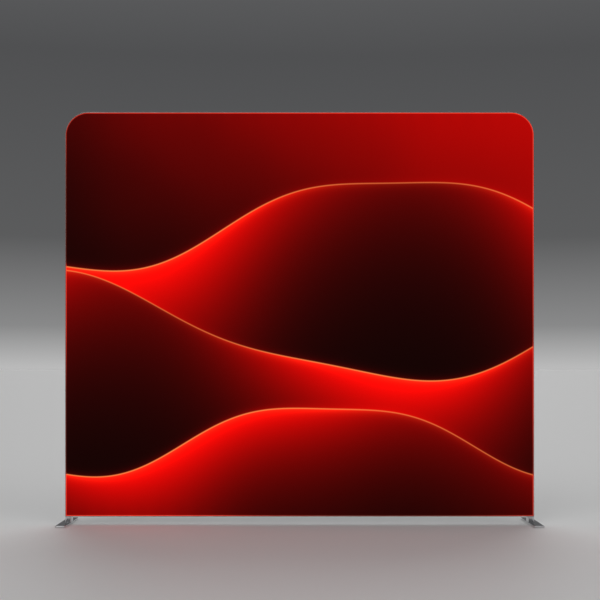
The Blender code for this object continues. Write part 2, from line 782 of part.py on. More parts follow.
def bar_strip_mesh():
    """A board in the channel with a row of moulded lenses."""
    board = bmesh.new()
    length = BAR_LENGTH - BOARD_INSET - BOARD_INSET
    middle = BOARD_LEVEL + BOARD_THICKNESS / 2
    add_box(board, (length, BOARD_WIDTH, BOARD_THICKNESS), (0, 0, middle))
    lenses = bmesh.new()
    profile = [(LENS_RADIUS, -BOARD_THICKNESS / 2)]
    for radius_share, height_share in LENS_SHARES:
        profile.append((LENS_RADIUS * radius_share, LENS_HEIGHT * height_share))
    for k in range(LENS_COUNT):
        x = (k - (LENS_COUNT - 1) / 2) * LENS_PITCH
        place = Matrix.Translation((x, 0, BOARD_LEVEL + BOARD_THICKNESS))
        add_turned(lenses, profile, LENS_SIDES, place)
    return combine(mesh_of(board, "led_strip"), mesh_of(lenses, "lenses"), "UNION")


def make_light_bars():
    """A bar on each half of the top and bottom rails, lighting the wall from its edges."""
    channel = bar_channel_mesh()
    strip = bar_strip_mesh()
    for side in ("top", "bottom"):
        for end, hand in (("left", -1), ("right", 1)):
            place = rail_matrix(side, hand * BAR_CENTRE)
            add_part(f"led_channel_{side}_{end}", channel, "mill_aluminium", place)
            add_part(f"led_strip_{side}_{end}", strip, "clear_lens", place)


def make_driver():
    """The LED driver on the right upright: its base, its case and its cable glands."""
    base = bmesh.new()
    length = DRIVER_LENGTH + DRIVER_FOOT + DRIVER_FOOT
    level = CLEARANCE + DRIVER_FOOT_THICKNESS / 2
    add_box(base, (length, DRIVER_WIDTH, DRIVER_FOOT_THICKNESS), (0, 0, level))
    case = bmesh.new()
    width = DRIVER_WIDTH - DRIVER_BEVEL - DRIVER_BEVEL
    top = CLEARANCE + DRIVER_HEIGHT
    sides = rectangle(DRIVER_LENGTH, width)
    lid = rectangle(DRIVER_LENGTH - DRIVER_BEVEL - DRIVER_BEVEL, width - DRIVER_BEVEL - DRIVER_BEVEL)
    add_loft(case, [(sides, level), (sides, top - DRIVER_BEVEL), (lid, top)])
    mesh = combine(mesh_of(base, "led_driver"), mesh_of(case, "case"), "UNION")
    glands = bmesh.new()
    inner_end = DRIVER_LENGTH / 2 - GLAND_LENGTH
    outer_end = DRIVER_LENGTH / 2 + GLAND_LENGTH
    for x, y in ((-1, 0), (1, -GLAND_SPREAD), (1, GLAND_SPREAD)):
        ring = circle(GLAND_RADIUS, HOLE_SIDES, y, CLEARANCE + DRIVER_HEIGHT / 2)
        add_loft(glands, [(ring, x * inner_end), (ring, x * outer_end)], ALONG_X)
    mesh = combine(mesh, mesh_of(glands, "glands"), "UNION")
    add_part("led_driver", mesh, "white_driver", rail_matrix("right", DRIVER_CENTRE_HEIGHT))


def socket_outline():
    """The mains socket's opening, with two corners cut off."""
    x = SOCKET_HEIGHT / 2
    y = SOCKET_WIDTH / 2
    return [
        (px - SOCKET_DROP, py)
        for px, py in (
            (-x, -y),
            (x - SOCKET_CHAMFER, -y),
            (x, SOCKET_CHAMFER - y),
            (x, y - SOCKET_CHAMFER),
            (x - SOCKET_CHAMFER, y),
            (-x, y),
        )
    ]


def make_inlet():
    """The mains inlet in the right upright's side: flange, body, socket, blades and switch well."""
    face = CLEARANCE + FLANGE_THICKNESS
    body = bmesh.new()
    outline = rectangle(INLET_HEIGHT, INLET_WIDTH)
    add_loft(body, [(outline, -INLET_DEPTH), (outline, CLEARANCE + FLANGE_THICKNESS / 2)])
    flange = bmesh.new()
    outline = rounded(FLANGE_HEIGHT, FLANGE_WIDTH, FLANGE_CORNER)
    add_loft(flange, [(outline, CLEARANCE), (outline, face)])
    mesh = combine(mesh_of(body, "power_inlet"), mesh_of(flange, "flange"), "UNION")
    hollows = bmesh.new()
    outline = socket_outline()
    floor_level = face - SOCKET_HOLLOW
    add_loft(hollows, [(outline, floor_level), (outline, face + OVERRUN)])
    width = ROCKER_WIDTH + CLEARANCE + CLEARANCE
    length = ROCKER_LENGTH + ROCKER_SWING + ROCKER_SWING
    depth = WELL_DEPTH + OVERRUN
    add_box(hollows, (width, length, depth), (ROCKER_LIFT, 0, face + OVERRUN - depth / 2))
    mesh = combine(mesh, mesh_of(hollows, "hollows"), "DIFFERENCE")
    blades = bmesh.new()
    tip = floor_level + PIN_LENGTH
    root = floor_level - PIN_THICKNESS
    size = (PIN_WIDTH, PIN_THICKNESS, tip - root)
    for step, y in ((-1, -PIN_SPREAD), (1, 0), (-1, PIN_SPREAD)):
        add_box(blades, size, (step * PIN_STEP / 2 - SOCKET_DROP, y, (tip + root) / 2))
    mesh = combine(mesh, mesh_of(blades, "blades"), "UNION")
    add_part("power_inlet", mesh, "black_nylon", outer_matrix("right", INLET_CENTRE_HEIGHT))


def make_rocker():
    """The switch's rocker, tilted to its on position about its own X."""
    half = ROCKER_LENGTH / 2
    outline = [
        (-half, 0),
        (-half, ROCKER_REACH),
        (0, ROCKER_REACH - ROCKER_DISH),
        (half, ROCKER_REACH),
        (half, 0),
        (half / 2, -ROCKER_KEEL),
        (-half / 2, -ROCKER_KEEL),
    ]
    bm = bmesh.new()
    add_loft(bm, [(outline, -ROCKER_WIDTH / 2), (outline, ROCKER_WIDTH / 2)], ALONG_X)
    pivot = Matrix.Translation((ROCKER_LIFT, 0, -ROCKER_PIVOT_DEPTH))
    tilt = Matrix.Rotation(ROCKER_TILT, 4, "X")
    place = outer_matrix("right", INLET_CENTRE_HEIGHT) @ pivot @ tilt
    add_part("rocker_switch", mesh_of(bm, "rocker_switch"), "black_switch", place)


def rail_point(side, along, across, level):
    return rail_matrix(side, along) @ Vector((0, across, level))


def smooth_route(points):
    """Points on a centripetal spline through a route's own points."""
    first = points[0] * 2 - points[1]
    last = points[-1] * 2 - points[-2]
    chain = [first, *points, last]
    route = [points[0]]
    for a, b, c, d in zip(chain, chain[1:], chain[2:], chain[3:]):
        t1 = (b - a).length ** 0.5
        t2 = t1 + (c - b).length ** 0.5
        t3 = t2 + (d - c).length ** 0.5
        for k in range(1, LEAD_STEPS + 1):
            t = t1 + (t2 - t1) * k / LEAD_STEPS
            ab = a.lerp(b, t / t1)
            bc = b.lerp(c, (t - t1) / (t2 - t1))
            cd = c.lerp(d, (t - t2) / (t3 - t2))
            abc = ab.lerp(bc, t / t2)
            bcd = bc.lerp(cd, (t - t1) / (t3 - t1))
            route.append(abc.lerp(bcd, (t - t1) / (t2 - t1)))
    return route


def add_lead(name, points):
    """A round lead along a smooth route."""
    route = smooth_route(points)
    curve = bpy.data.curves.new(name, "CURVE")
    curve.dimensions = "3D"
    curve.bevel_depth = LEAD_RADIUS
    curve.bevel_resolution = 2
    curve.use_fill_caps = True
    spline = curve.splines.new("POLY")
    spline.points.add(len(route) - 1)
    for point, at in zip(spline.points, route):
        point.co = (*at, 1)
    add_part(name, curve, "grey_lead")


def bar_exit(side, end, way):
    """A lead's route out of a bar's end and round the rail's edge into its rear recess."""
    level = BOARD_LEVEL + LEAD_RADIUS
    route = [rail_point(side, end - way * (BOARD_INSET - CLEARANCE), 0, level)]
    for along_share, side_share, drop_share in EXIT_SHARES:
        along = end + way * LEAD_BEND * along_share
        drop = level + (LEAD_LEVEL - level) * drop_share
        route.append(rail_point(side, along, LEAD_SIDE * side_share, drop))
    return route


def in_recess(side, along):
    return rail_point(side, along, LEAD_SIDE, LEAD_LEVEL)


def driver_exit(shares, across):
    """A lead's route from one of the driver's upper glands into the upright's rear recess."""
    start = DRIVER_CENTRE_HEIGHT + DRIVER_LENGTH / 2 + GLAND_LENGTH + CLEARANCE
    level = CLEARANCE + DRIVER_HEIGHT / 2
    route = []
    for rise_share, side_share, drop_share in shares:
        height = start + LEAD_BEND * rise_share
        side = across + (LEAD_SIDE - across) * side_share
        drop = level + (LEAD_LEVEL - level) * drop_share
        route.append(rail_point("right", height, side, drop))
    return route


def make_leads():
    """The mains lead, the driver's two output leads, and the jumpers across the middle."""
    inlet_end = rail_matrix("right", INLET_CENTRE_HEIGHT)
    depth = INLET_DEPTH + CLEARANCE - PROFILE_HEIGHT
    level = CLEARANCE + DRIVER_HEIGHT / 2
    mains = []
    for rise_share, level_share in MAINS_SHARES:
        drop = depth + (level - depth) * level_share
        mains.append(inlet_end @ Vector((MAINS_RISE * rise_share, 0, drop)))
    add_lead("mains_lead", mains)

    corner = HALF_WIDTH - LEAD_INSET
    floor_run = FRAME_BOTTOM + LEAD_INSET
    down = driver_exit(LOWER_LEAD_SHARES, GLAND_SPREAD)
    down.append(in_recess("right", INLET_CENTRE_HEIGHT))
    for share in (3, 1):
        down.append(in_recess("right", floor_run + share * LEAD_BEND))
    for share in (1, 3):
        down.append(in_recess("bottom", corner - share * LEAD_BEND))
    down += reversed(bar_exit("bottom", BAR_FAR_END, 1))
    add_lead("dc_lead_bottom", down)

    up = driver_exit(UPPER_LEAD_SHARES, -GLAND_SPREAD)
    up.append(in_recess("right", UPRIGHT_SEAM))
    up.append(in_recess("right", BEND_SEAM_Z))
    radius = CORNER_RADIUS - LEAD_INSET
    for k in range(0, BEND_STEPS + 1, 2):
        angle = pi / 2 * k / BEND_STEPS
        x = HALF_WIDTH - CORNER_RADIUS + radius * cos(angle)
        z = FRAME_TOP - CORNER_RADIUS + radius * sin(angle)
        up.append(Vector((x, LEAD_SIDE, z)))
    up.append(in_recess("top", BEND_SEAM_X))
    up += reversed(bar_exit("top", BAR_FAR_END, 1))
    add_lead("dc_lead_top", up)

    for side in ("top", "bottom"):
        right = bar_exit(side, BAR_FROM_CENTRE, -1)[:-1]
        left = bar_exit(side, -BAR_FROM_CENTRE, 1)[:-1]
        add_lead(f"jumper_{side}", right + left[::-1])


def tube_loops(width, depth, wall):
    """A box tube's section, its outside and then its bore."""
    loops = []
    for inset in (0, wall):
        x = width / 2 - inset
        y = depth / 2 - inset
        loops.append([(-x, -y), (x, -y), (x, y), (-x, y)])
    return loops


def make_support():
    """The telescopic post at the middle: two tubes, a snap button and a nylon shoe at each end."""
    rim = CLEARANCE + SHOE_THICKNESS + CLEARANCE
    low = FRAME_BOTTOM + PROFILE_HEIGHT + rim
    high = FRAME_TOP - PROFILE_HEIGHT - rim
    middle = (low + high) / 2
    lap = TUBE_OVERLAP / 2
    slip = TUBE_WALL + CLEARANCE
    inner_width = TUBE_WIDTH - slip - slip
    inner_depth = TUBE_DEPTH - slip - slip
    button_height = middle + lap - BUTTON_BELOW_RIM

    outer = bmesh.new()
    stations = [(0, low, 1, 0), (0, middle + lap, 1, 0)]
    add_sweep(outer, tube_loops(TUBE_WIDTH, TUBE_DEPTH, TUBE_WALL), stations)
    hole = bmesh.new()
    ring = circle(BUTTON_RADIUS + BORE_CLEARANCE, HOLE_SIDES, 0, button_height)
    wall_middle = TUBE_DEPTH / 2 - TUBE_WALL / 2
    reach = TUBE_WALL / 2 + OVERRUN
    add_loft(hole, [(ring, -wall_middle - reach), (ring, reach - wall_middle)], ALONG_Y)
    mesh = combine(mesh_of(outer, "support_lower"), mesh_of(hole, "hole"), "DIFFERENCE")
    add_part("support_lower", mesh, "mill_aluminium")

    inner = bmesh.new()
    stations = [(0, middle - lap, 1, 0), (0, high, 1, 0)]
    add_sweep(inner, tube_loops(inner_width, inner_depth, TUBE_WALL), stations)
    button = bmesh.new()
    ring = circle(BUTTON_RADIUS, HOLE_SIDES, 0, button_height)
    root = inner_depth / 2 - TUBE_WALL / 2
    add_loft(button, [(ring, -TUBE_DEPTH / 2 - BUTTON_PROUD), (ring, -root)], ALONG_Y)
    mesh = combine(mesh_of(inner, "support_upper"), mesh_of(button, "button"), "UNION")
    add_part("support_upper", mesh, "mill_aluminium")

    plugs = (("lower", "bottom", TUBE_WIDTH, TUBE_DEPTH), ("upper", "top", inner_width, inner_depth))
    for name, side, width, depth in plugs:
        base = bmesh.new()
        middle_level = CLEARANCE + SHOE_THICKNESS / 2
        add_box(base, (SHOE_LENGTH, SHOE_WIDTH, SHOE_THICKNESS), (0, 0, middle_level))
        plug = bmesh.new()
        outline = rectangle(width - slip - slip, depth - slip - slip)
        top = CLEARANCE + SHOE_THICKNESS + PLUG_LENGTH
        add_loft(plug, [(outline, middle_level), (outline, top)])
        mesh = combine(mesh_of(base, "shoe"), mesh_of(plug, "plug"), "UNION")
        add_part(f"support_shoe_{name}", mesh, "black_nylon", rail_matrix(side, 0))


def main():
    clear_scene()
    make_frame()
    make_splices()
    make_corner_brackets()
    make_locks()
    make_feet()
    make_sheet("front_graphic", "front_silicone_edge", 1, "red_black_print")
    make_sheet("rear_liner", "rear_silicone_edge", -1, "charcoal_liner")
    make_light_bars()
    make_driver()
    make_inlet()
    make_rocker()
    make_leads()
    make_support()


main()
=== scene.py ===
"""The lightbox display wall, dressed: a glowing printed front in a slim metal frame, on two feet."""

import json
from math import atan2, cos, pi, radians, sin

import bmesh
import bpy
from mathutils import Matrix, Vector


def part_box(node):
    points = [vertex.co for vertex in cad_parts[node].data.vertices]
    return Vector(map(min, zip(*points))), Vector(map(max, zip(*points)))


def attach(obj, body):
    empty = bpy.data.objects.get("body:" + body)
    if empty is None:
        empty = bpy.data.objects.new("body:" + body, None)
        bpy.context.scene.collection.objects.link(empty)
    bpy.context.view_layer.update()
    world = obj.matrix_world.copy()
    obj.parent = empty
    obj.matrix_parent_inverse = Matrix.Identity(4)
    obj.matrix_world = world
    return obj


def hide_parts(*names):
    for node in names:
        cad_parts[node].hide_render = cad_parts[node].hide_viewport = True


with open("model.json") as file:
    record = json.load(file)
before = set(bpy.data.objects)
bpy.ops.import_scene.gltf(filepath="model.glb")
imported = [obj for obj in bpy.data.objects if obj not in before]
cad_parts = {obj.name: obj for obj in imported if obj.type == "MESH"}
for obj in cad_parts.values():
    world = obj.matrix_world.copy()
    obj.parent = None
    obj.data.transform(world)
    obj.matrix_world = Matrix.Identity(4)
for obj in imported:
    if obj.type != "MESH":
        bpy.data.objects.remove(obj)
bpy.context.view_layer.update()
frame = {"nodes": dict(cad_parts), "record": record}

# The camera, level and square on, and the photograph's frame, in pixels
PHOTO_SIZE = 600
CENTRE_COLUMN = 299.65
HORIZON_ROW = 367
PIXELS_PER_METRE = 192.2
CAMERA_DISTANCE = 6.0
CAMERA_HEIGHT = 0.818
SENSOR_WIDTH = 36.0

# The frame's section and corners, as in the CAD; every length is in metres
HALF_WIDTH = 1.220
HALF_DEPTH = 0.030
FRAME_BOTTOM = 0.040
FRAME_TOP = 2.144
CORNER_RADIUS = 0.120
BEND_LEG = 0.080
BEND_STEPS = 40
CLEARANCE = 0.0003
PROFILE_HEIGHT = 0.030
PROFILE_WALL = 0.002
WEB_FACE = 0.017
WEB_THICKNESS = 0.0018
LIP = 0.003
LIP_CHAMFER = 0.0008
GROOVE_INNER = 0.0066
RIB_INNER = 0.0082
RIB_STEP = 0.0011
TURNS = {"bottom": 0, "left": pi / 2, "top": pi, "right": -pi / 2}

# The sheets, as the frame has them
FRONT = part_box("front_graphic")
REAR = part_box("rear_liner")
SHEET_LEFT = FRONT[0][0]
SHEET_RIGHT = FRONT[1][0]
SHEET_BOTTOM = FRONT[0][2]
SHEET_TOP = FRONT[1][2]
SHEET_WIDTH = SHEET_RIGHT - SHEET_LEFT
SHEET_RADIUS = CORNER_RADIUS - (HALF_WIDTH - SHEET_RIGHT)
CORNER_STEPS = 24

# The sheets' rolled edge: inset and share of the thickness, from the back to the face
ROLLED_EDGE = (
    (0.0030, 0.0),
    (0.0012, 0.0),
    (0.0003, 0.0),
    (0.0, 0.3),
    (0.00015, 0.7),
    (0.0006, 0.93),
    (0.0014, 1.0),
    (0.0030, 1.0),
)

# The sewn hems' widths, and the fall from a hem's face to the single cloth within it
FRONT_HEM = 0.0062
REAR_HEM = 0.0110
HEM_BLUR = 0.0005
HEM_FALL = ((-0.0006, 1.0), (0.0, 0.96), (0.0005, 0.76), (0.0012, 0.70), (0.0035, 0.70))

# The cloth's relief: pitch of the knit, inset, pitch and width of the stitches, reach and pitch of the folds
FRONT_KNIT = 0.0011
FRONT_STITCHES = (0.0042, 0.0028, 0.0005)
FRONT_FOLDS = (0.035, 0.028)
REAR_KNIT = 0.0014
REAR_STITCHES = (0.0055, 0.0032, 0.0006)
REAR_FOLDS = (0.050, 0.034)

# What both cloths share: the lean of the knit's loops, the part of a stitch's wave that is a gap, the
# folds' wander in radians, and the part of a patchy noise in which they show
KNIT_LEAN = 0.9
STITCH_GAP = (-0.55, -0.10)
FOLD_WANDER = 9
FOLD_PATCHES = (0.35, 0.70)

# The pull tab on the liner's hem: a folded ribbon, as places (out from the hem's face, up its height)
TAB_X = 1.130
TAB_WIDTH = 0.018
TAB_THICKNESS = 0.0006
TAB_RIB_PITCH = 0.0012
TAB_PATH = (
    (0.00035, 0.0016),
    (0.0006, 0.0070),
    (0.0010, 0.0180),
    (0.0013, 0.0300),
    (0.0015, 0.0345),
    (0.0021, 0.0362),
    (0.0027, 0.0345),
    (0.0028, 0.0300),
    (0.0024, 0.0180),
    (0.0018, 0.0075),
    (0.0010, 0.0026),
)

# The feet: plates, posts, and the bolt's countersink and bore
PLATE_WIDTH = 0.055
PLATE_LENGTH = 0.350
PLATE_THICKNESS = 0.010
PLATE_CORNER = 0.009
PLATE_BEVEL = 0.0022
POST_WIDTH = 0.030
POST_DEPTH = 0.058
POST_CORNER = 0.003
POST_BEVEL = 0.0005
FOOT_X = HALF_WIDTH - POST_WIDTH / 2
SINK_RADIUS = 0.0085
SINK_RIM = 0.0011
BORE_RADIUS = 0.0045
BORE_SIDES = 32

# How far a rounded edge's neighbouring rings stand off, below and beside it, in bevels
GUARD_BELOW = 1.6
GUARD_BESIDE = 1.4

# The screws' heads: rounding as shares of radius and height, turn from one to the next in radians,
# cross recess and seats
SCREW_RADIUS = 0.0029
SCREW_HEIGHT = 0.0020
SCREW_SIDES = 20
SCREW_ROUNDING = ((1, 0), (1, 0.35), (0.94, 0.62), (0.80, 0.84), (0.58, 0.96), (0.30, 1))
SCREW_TURN = 0.9
RECESS_LENGTH = 0.0034
RECESS_WIDTH = 0.0008
RECESS_DEPTH = 0.0011
DRIVER_SCREWS = (0.3143, 0.6063)
DRIVER_BASE = 0.0023
BAR_ENDS = (0.0826, 0.8674)
BAR_FLOOR = 0.0023

# The clips over the leads: the lead's place against the web, the clip's sizes, and rail and place of each
LEAD_OUT = 0.0198
LEAD_LEVEL = -0.010
LEAD_RADIUS = 0.0025
CLIP_WIDTH = 0.009
CLIP_THICKNESS = 0.0009
CLIP_REACH = 0.0085
CLIP_STEPS = 12
CLIPS = (
    ("right", 0.150),
    ("right", 0.285),
    ("right", 0.420),
    ("right", 0.820),
    ("right", 1.120),
    ("right", 1.420),
    ("right", 1.720),
    ("top", 0.985),
    ("bottom", 0.985),
    ("bottom", 1.085),
)

# The inlet's blades: their places (up, across) in the socket
INLET_HEIGHT = 0.220
SOCKET_DROP = 0.0105
BLADE_ROOT = -0.0177
BLADE_TIP = -0.0036
BLADE_WIDTH = 0.0042
BLADE_THICKNESS = 0.0022
BLADES = ((-0.002, -0.007), (0.002, 0.0), (-0.002, 0.007))

# The rocker, at rest tilted with its rear half pressed in, and the marks on its two halves
ROCKER_LIFT = 0.01175
ROCKER_PIVOT_DEPTH = 0.005
ROCKER_LENGTH = 0.018
ROCKER_REACH = 0.0085
ROCKER_DISH = 0.0012
ROCKER_TILT = radians(7)
MARK_LENGTH = 0.0046
MARK_RADIUS = 0.0022
MARK_SIDES = 32
MARK_WIDTH = 0.0008
MARK_SINK = 0.00006
MARK_RISE = 0.00008

# The boards: a lens every tenth of a metre, its shape as shares of radius and height, a chip under each
LENS_PITCH = 0.100
LENS_COUNT = 8
LENS_RADIUS = 0.008
LENS_HEIGHT = 0.009
LENS_SIDES = 24
LENS_SHARES = (
    (1, 0.10),
    (0.985, 0.28),
    (0.93, 0.48),
    (0.82, 0.68),
    (0.66, 0.84),
    (0.46, 0.94),
    (0.22, 0.99),
)
CHIP_SIZE = (0.0030, 0.0030, 0.0007)
BAR_CENTRE = 0.475
BOARD_SIZE = (0.770, 0.018, 0.0016)
BOARD_LEVEL = 0.0026
RUN_INSET = 0.0055
RUN_WIDTH = 0.0016
RUN_BLUR = 0.0003

# The print's backdrop: its rise to the right and up with a patchy drift, the low and high end of their
# sum, the tone at the low end and how much it gains by the high one
BACKDROP_RISE = (0.36, 0.52)
BACKDROP_DRIFT = 0.35
BACKDROP_ENDS = (0.25, 1.85)
BACKDROP_LOW = 0.08
BACKDROP_SPAN = 0.62

# The print's crests, the front one last: height, swells (size, waves a metre, phase), how far down the
# glow reaches, how strong it is, and its ebb along the crest (size, waves a metre, phase)
CRESTS = (
    {
        "height": 1.56,
        "swells": ((0.25, 0.30, 0.10), (0.035, 0.83, 0.35)),
        "reach": 0.47,
        "glow": 1.10,
        "ebb": (0.34, 0.36, 0.55),
    },
    {
        "height": 1.02,
        "swells": ((0.27, 0.27, 0.62), (0.04, 0.71, 0.1)),
        "reach": 0.41,
        "glow": 1.10,
        "ebb": (0.34, 0.42, 0.05),
    },
    {
        "height": 0.44,
        "swells": ((0.19, 0.37, 0.20), (0.03, 0.95, 0.6)),
        "reach": 0.33,
        "glow": 1.08,
        "ebb": (0.32, 0.33, 0.42),
    },
)
CREST_BLUR = 0.0006
CREST_BASE = 0.04

# The light along a crest's rim: the line's width and least strength, then strength and reach of what is
# about it, an ember and a heat below it and a spill above
RIM_WIDTH = 0.0028
RIM_LEAST = 0.3
EMBER = 0.38
EMBER_REACH = 0.020
HEAT = 0.16
HEAT_REACH = 0.012
SPILL = 0.26
SPILL_REACH = 0.016

# The print's colours, lit and unlit, and those of the lit line along its border by the print's tone
PRINT_DARK = (0.0016, 0.0004, 0.0002)
PRINT_BRIGHT = (1.000, 0.0022, 0.0012)
PRINT_CONTRAST = 2.2
PRINT_UNLIT = (0.0022, 0.0012, 0.0012)
UNLIT_SHARE = 0.97
RIM_COLOUR = (1.0, 0.225, 0.060)
EDGE_WIDTH = 0.0055
EDGE_RAMP = (
    (0.00, (0.012, 0.005, 0.004)),
    (0.18, (0.110, 0.012, 0.006)),
    (0.32, (0.620, 0.032, 0.016)),
    (0.60, (0.880, 0.040, 0.020)),
    (1.00, (1.000, 0.080, 0.040)),
)

# The light behind the print: its level, the cloth's grain and knit in it, and more of it near the two
# light bars, even and at each lens
LIGHT_LEVEL = 0.99
LIGHT_GRAIN = 0.22
LIGHT_KNIT = 0.09
BANK = 0.10
BANK_REACH = 0.30
SPOTS = 0.025
SPOT_REACH = 0.050

# The painted reflection of the lit print's red glow on the frame's front lip, and its share
LIP_PAINTED_GLOW = (0.40, 0.13, 0.11)
LIP_GLOW_SHARE = 0.6

# Moulded plastics and rubber: darker and lighter colour, roughness, and scale of the grain
MOULDED = {
    "silicone_edge": ((0.55, 0.55, 0.53), (0.68, 0.68, 0.66), 0.42, 500),
    "driver_case": ((0.66, 0.66, 0.64), (0.74, 0.74, 0.72), 0.45, 700),
    "inlet_body": ((0.012, 0.012, 0.013), (0.022, 0.022, 0.024), 0.46, 900),
    "rocker": ((0.008, 0.008, 0.009), (0.014, 0.014, 0.015), 0.30, 1200),
    "lead_sheath": ((0.045, 0.045, 0.047), (0.065, 0.065, 0.067), 0.52, 600),
    "nylon_shoe": ((0.012, 0.012, 0.013), (0.022, 0.022, 0.024), 0.48, 900),
    "mark_paint": ((0.72, 0.72, 0.70), (0.80, 0.80, 0.78), 0.50, 1500),
}

# The floor, the surround by height, and the soft lights: name, direction, spread in degrees, power
FLOOR_HALF = 400
FLOOR_DROP = 0.0004
FLOOR_COLOUR = (0.74, 0.736, 0.73)
SURROUND = (
    (0.00, (0.490, 0.490, 0.491)),
    (0.035, (0.250, 0.251, 0.253)),
    (0.11, (0.105, 0.106, 0.108)),
    (0.26, (0.080, 0.081, 0.084)),
    (0.55, (0.200, 0.202, 0.206)),
    (1.00, (0.360, 0.364, 0.370)),
)
SUNS = (
    ("key", (0.30, 0.72, -0.70), 45, 0.60),
    ("fill", (-0.65, 0.55, -0.50), 40, 0.30),
    ("back", (-0.04, -0.80, -0.75), 50, 0.90),
)

# A rectangle's corners, in turn
CORNERS = ((1, 1), (-1, 1), (-1, -1), (1, -1))


class Value:
    """A shader value that sums, products and functions can be written with."""

    def __init__(self, tree, source):
        self.tree = tree
        self.source = source

    def math(self, operation, *others):
        node = self.tree.nodes.new("ShaderNodeMath")
        node.operation = operation
        for socket, item in zip(node.inputs, (self, *others)):
            plug(self.tree, item, socket)
        return Value(self.tree, node.outputs[0])

    def __add__(self, other):
        return self.math("ADD", other)

    def __sub__(self, other):
        return self.math("SUBTRACT", other)

    def __rsub__(self, other):
        return -self + other

    def __mul__(self, other):
        return self.math("MULTIPLY", other)

    def __truediv__(self, other):
        return self.math("DIVIDE", other)

    def __pow__(self, other):
        return self.math("POWER", other)

    def __neg__(self):
        return self * -1

    def __abs__(self):
        return self.math("ABSOLUTE")

    def at_least(self, other):
        return self.math("MAXIMUM", other)

    def at_most(self, other):
        return self.math("MINIMUM", other)

    def exp(self):
        return self.math("EXPONENT")

    def fade(self, reach):
        """1 at 0, and less by the factor e with each further reach."""
        return (self * (-1 / reach)).exp()

    def sine(self, waves, phase=0):
        """The sine of this value, at so many waves a metre."""
        return (self * (2 * pi * waves) + 2 * pi * phase).math("SINE")

    def step(self, low, high):
        """0 up to low and 1 from high on, smooth between; high may be the lower of the two."""
        node = self.tree.nodes.new("ShaderNodeMapRange")
        node.interpolation_type = "SMOOTHSTEP"
        for name, item in (("Value", self), ("From Min", low), ("From Max", high)):
            plug(self.tree, item, node.inputs[name])
        return Value(self.tree, node.outputs["Result"])

    def blend(self, other, share):
        """This value where share is 0, and the other where it is 1."""
        return self + (other - self) * share


def plug(tree, item, socket):
    """Sets a socket to a number or colour, or links a value or an output to it."""
    if isinstance(item, Value):
        item = item.source
    if isinstance(item, bpy.types.NodeSocket):
        tree.links.new(item, socket)
    elif isinstance(item, tuple) and len(item) == 3 and socket.type == "RGBA":
        socket.default_value = (*item, 1)
    else:
        socket.default_value = item


def add_ramp(tree, value, stops):
    """A colour that follows a value through stops, each a position and its colour."""
    node = tree.nodes.new("ShaderNodeValToRGB")
    plug(tree, value, node.inputs[0])
    elements = node.color_ramp.elements
    while len(elements) < len(stops):
        elements.new(0.5)
    for element, (position, colour) in zip(elements, stops):
        element.position = position
        element.color = (*colour, 1)
    return node.outputs["Color"]


class Finish:
    """A material under construction: its tree, its shader and its object coordinates."""

    def __init__(self, name, **constants):
        """Constants go to the shader's sockets, whose names they spell in lower case."""
        self.material = bpy.data.materials.new(name)
        self.material.use_nodes = True
        self.tree = self.material.node_tree
        self.shader = self.tree.nodes["Principled BSDF"]
        self.place = self.tree.nodes.new("ShaderNodeTexCoord").outputs["Object"]
        for label, value in constants.items():
            self.set(label.replace("_", " ").title().replace("Ior", "IOR"), value)

    def set(self, label, item):
        plug(self.tree, item, self.shader.inputs[label])

    def axes(self):
        node = self.tree.nodes.new("ShaderNodeSeparateXYZ")
        plug(self.tree, self.place, node.inputs[0])
        return [Value(self.tree, out) for out in node.outputs]

    def vector(self, x, y, z):
        node = self.tree.nodes.new("ShaderNodeCombineXYZ")
        for item, socket in zip((x, y, z), node.inputs):
            plug(self.tree, item, socket)
        return node.outputs[0]

    def noise(self, scale, detail=3, stretch=(1, 1, 1), roughness=0.5):
        mapping = self.tree.nodes.new("ShaderNodeMapping")
        mapping.inputs["Scale"].default_value = stretch
        plug(self.tree, self.place, mapping.inputs["Vector"])
        node = self.tree.nodes.new("ShaderNodeTexNoise")
        node.inputs["Scale"].default_value = scale
        node.inputs["Detail"].default_value = detail
        node.inputs["Roughness"].default_value = roughness
        plug(self.tree, mapping.outputs[0], node.inputs["Vector"])
        return Value(self.tree, node.outputs["Fac"])

    def ramp(self, value, *stops):
        return add_ramp(self.tree, value, stops)

    def mix(self, share, first, second, mode="MIX"):
        node = self.tree.nodes.new("ShaderNodeMix")
        node.data_type = "RGBA"
        node.blend_type = mode
        sockets = [s for s in node.inputs if s.enabled]
        for socket, item in zip(sockets, (share, first, second)):
            plug(self.tree, item, socket)
        return [s for s in node.outputs if s.enabled][0]

    def bump(self, height, distance, strength):
        node = self.tree.nodes.new("ShaderNodeBump")
        node.inputs["Strength"].default_value = strength
        node.inputs["Distance"].default_value = distance
        plug(self.tree, height, node.inputs["Height"])
        self.set("Normal", node.outputs[0])


def edge_distance(finish):
    """The distance in from a sheet's border, round its upper corners too."""
    x, _, z = finish.axes()
    beside = (abs(x) - (SHEET_WIDTH / 2 - SHEET_RADIUS)).at_least(0)
    above = (z - (SHEET_TOP - SHEET_RADIUS)).at_least(0)
    outer = SHEET_RADIUS - (beside * beside + above * above).math("SQRT")
    return outer.at_most(z - SHEET_BOTTOM)


def knit(finish, pitch):
    """The relief of a fine warp knit: rows of loops that lean alternately."""
    x, _, z = finish.axes()
    across = x.sine(1 / pitch)
    rows = (z * (2 * pi / pitch) + across * KNIT_LEAN).math("SINE")
    return across * 0.5 + rows * 0.5


def stitches(finish, distance, inset, pitch, width):
    """A row of stitches at a set distance in from the border."""
    x, _, z = finish.axes()
    line = abs(distance - inset).step(width, width * 0.4)
    return line * (x + z).sine(1 / pitch).step(*STITCH_GAP)


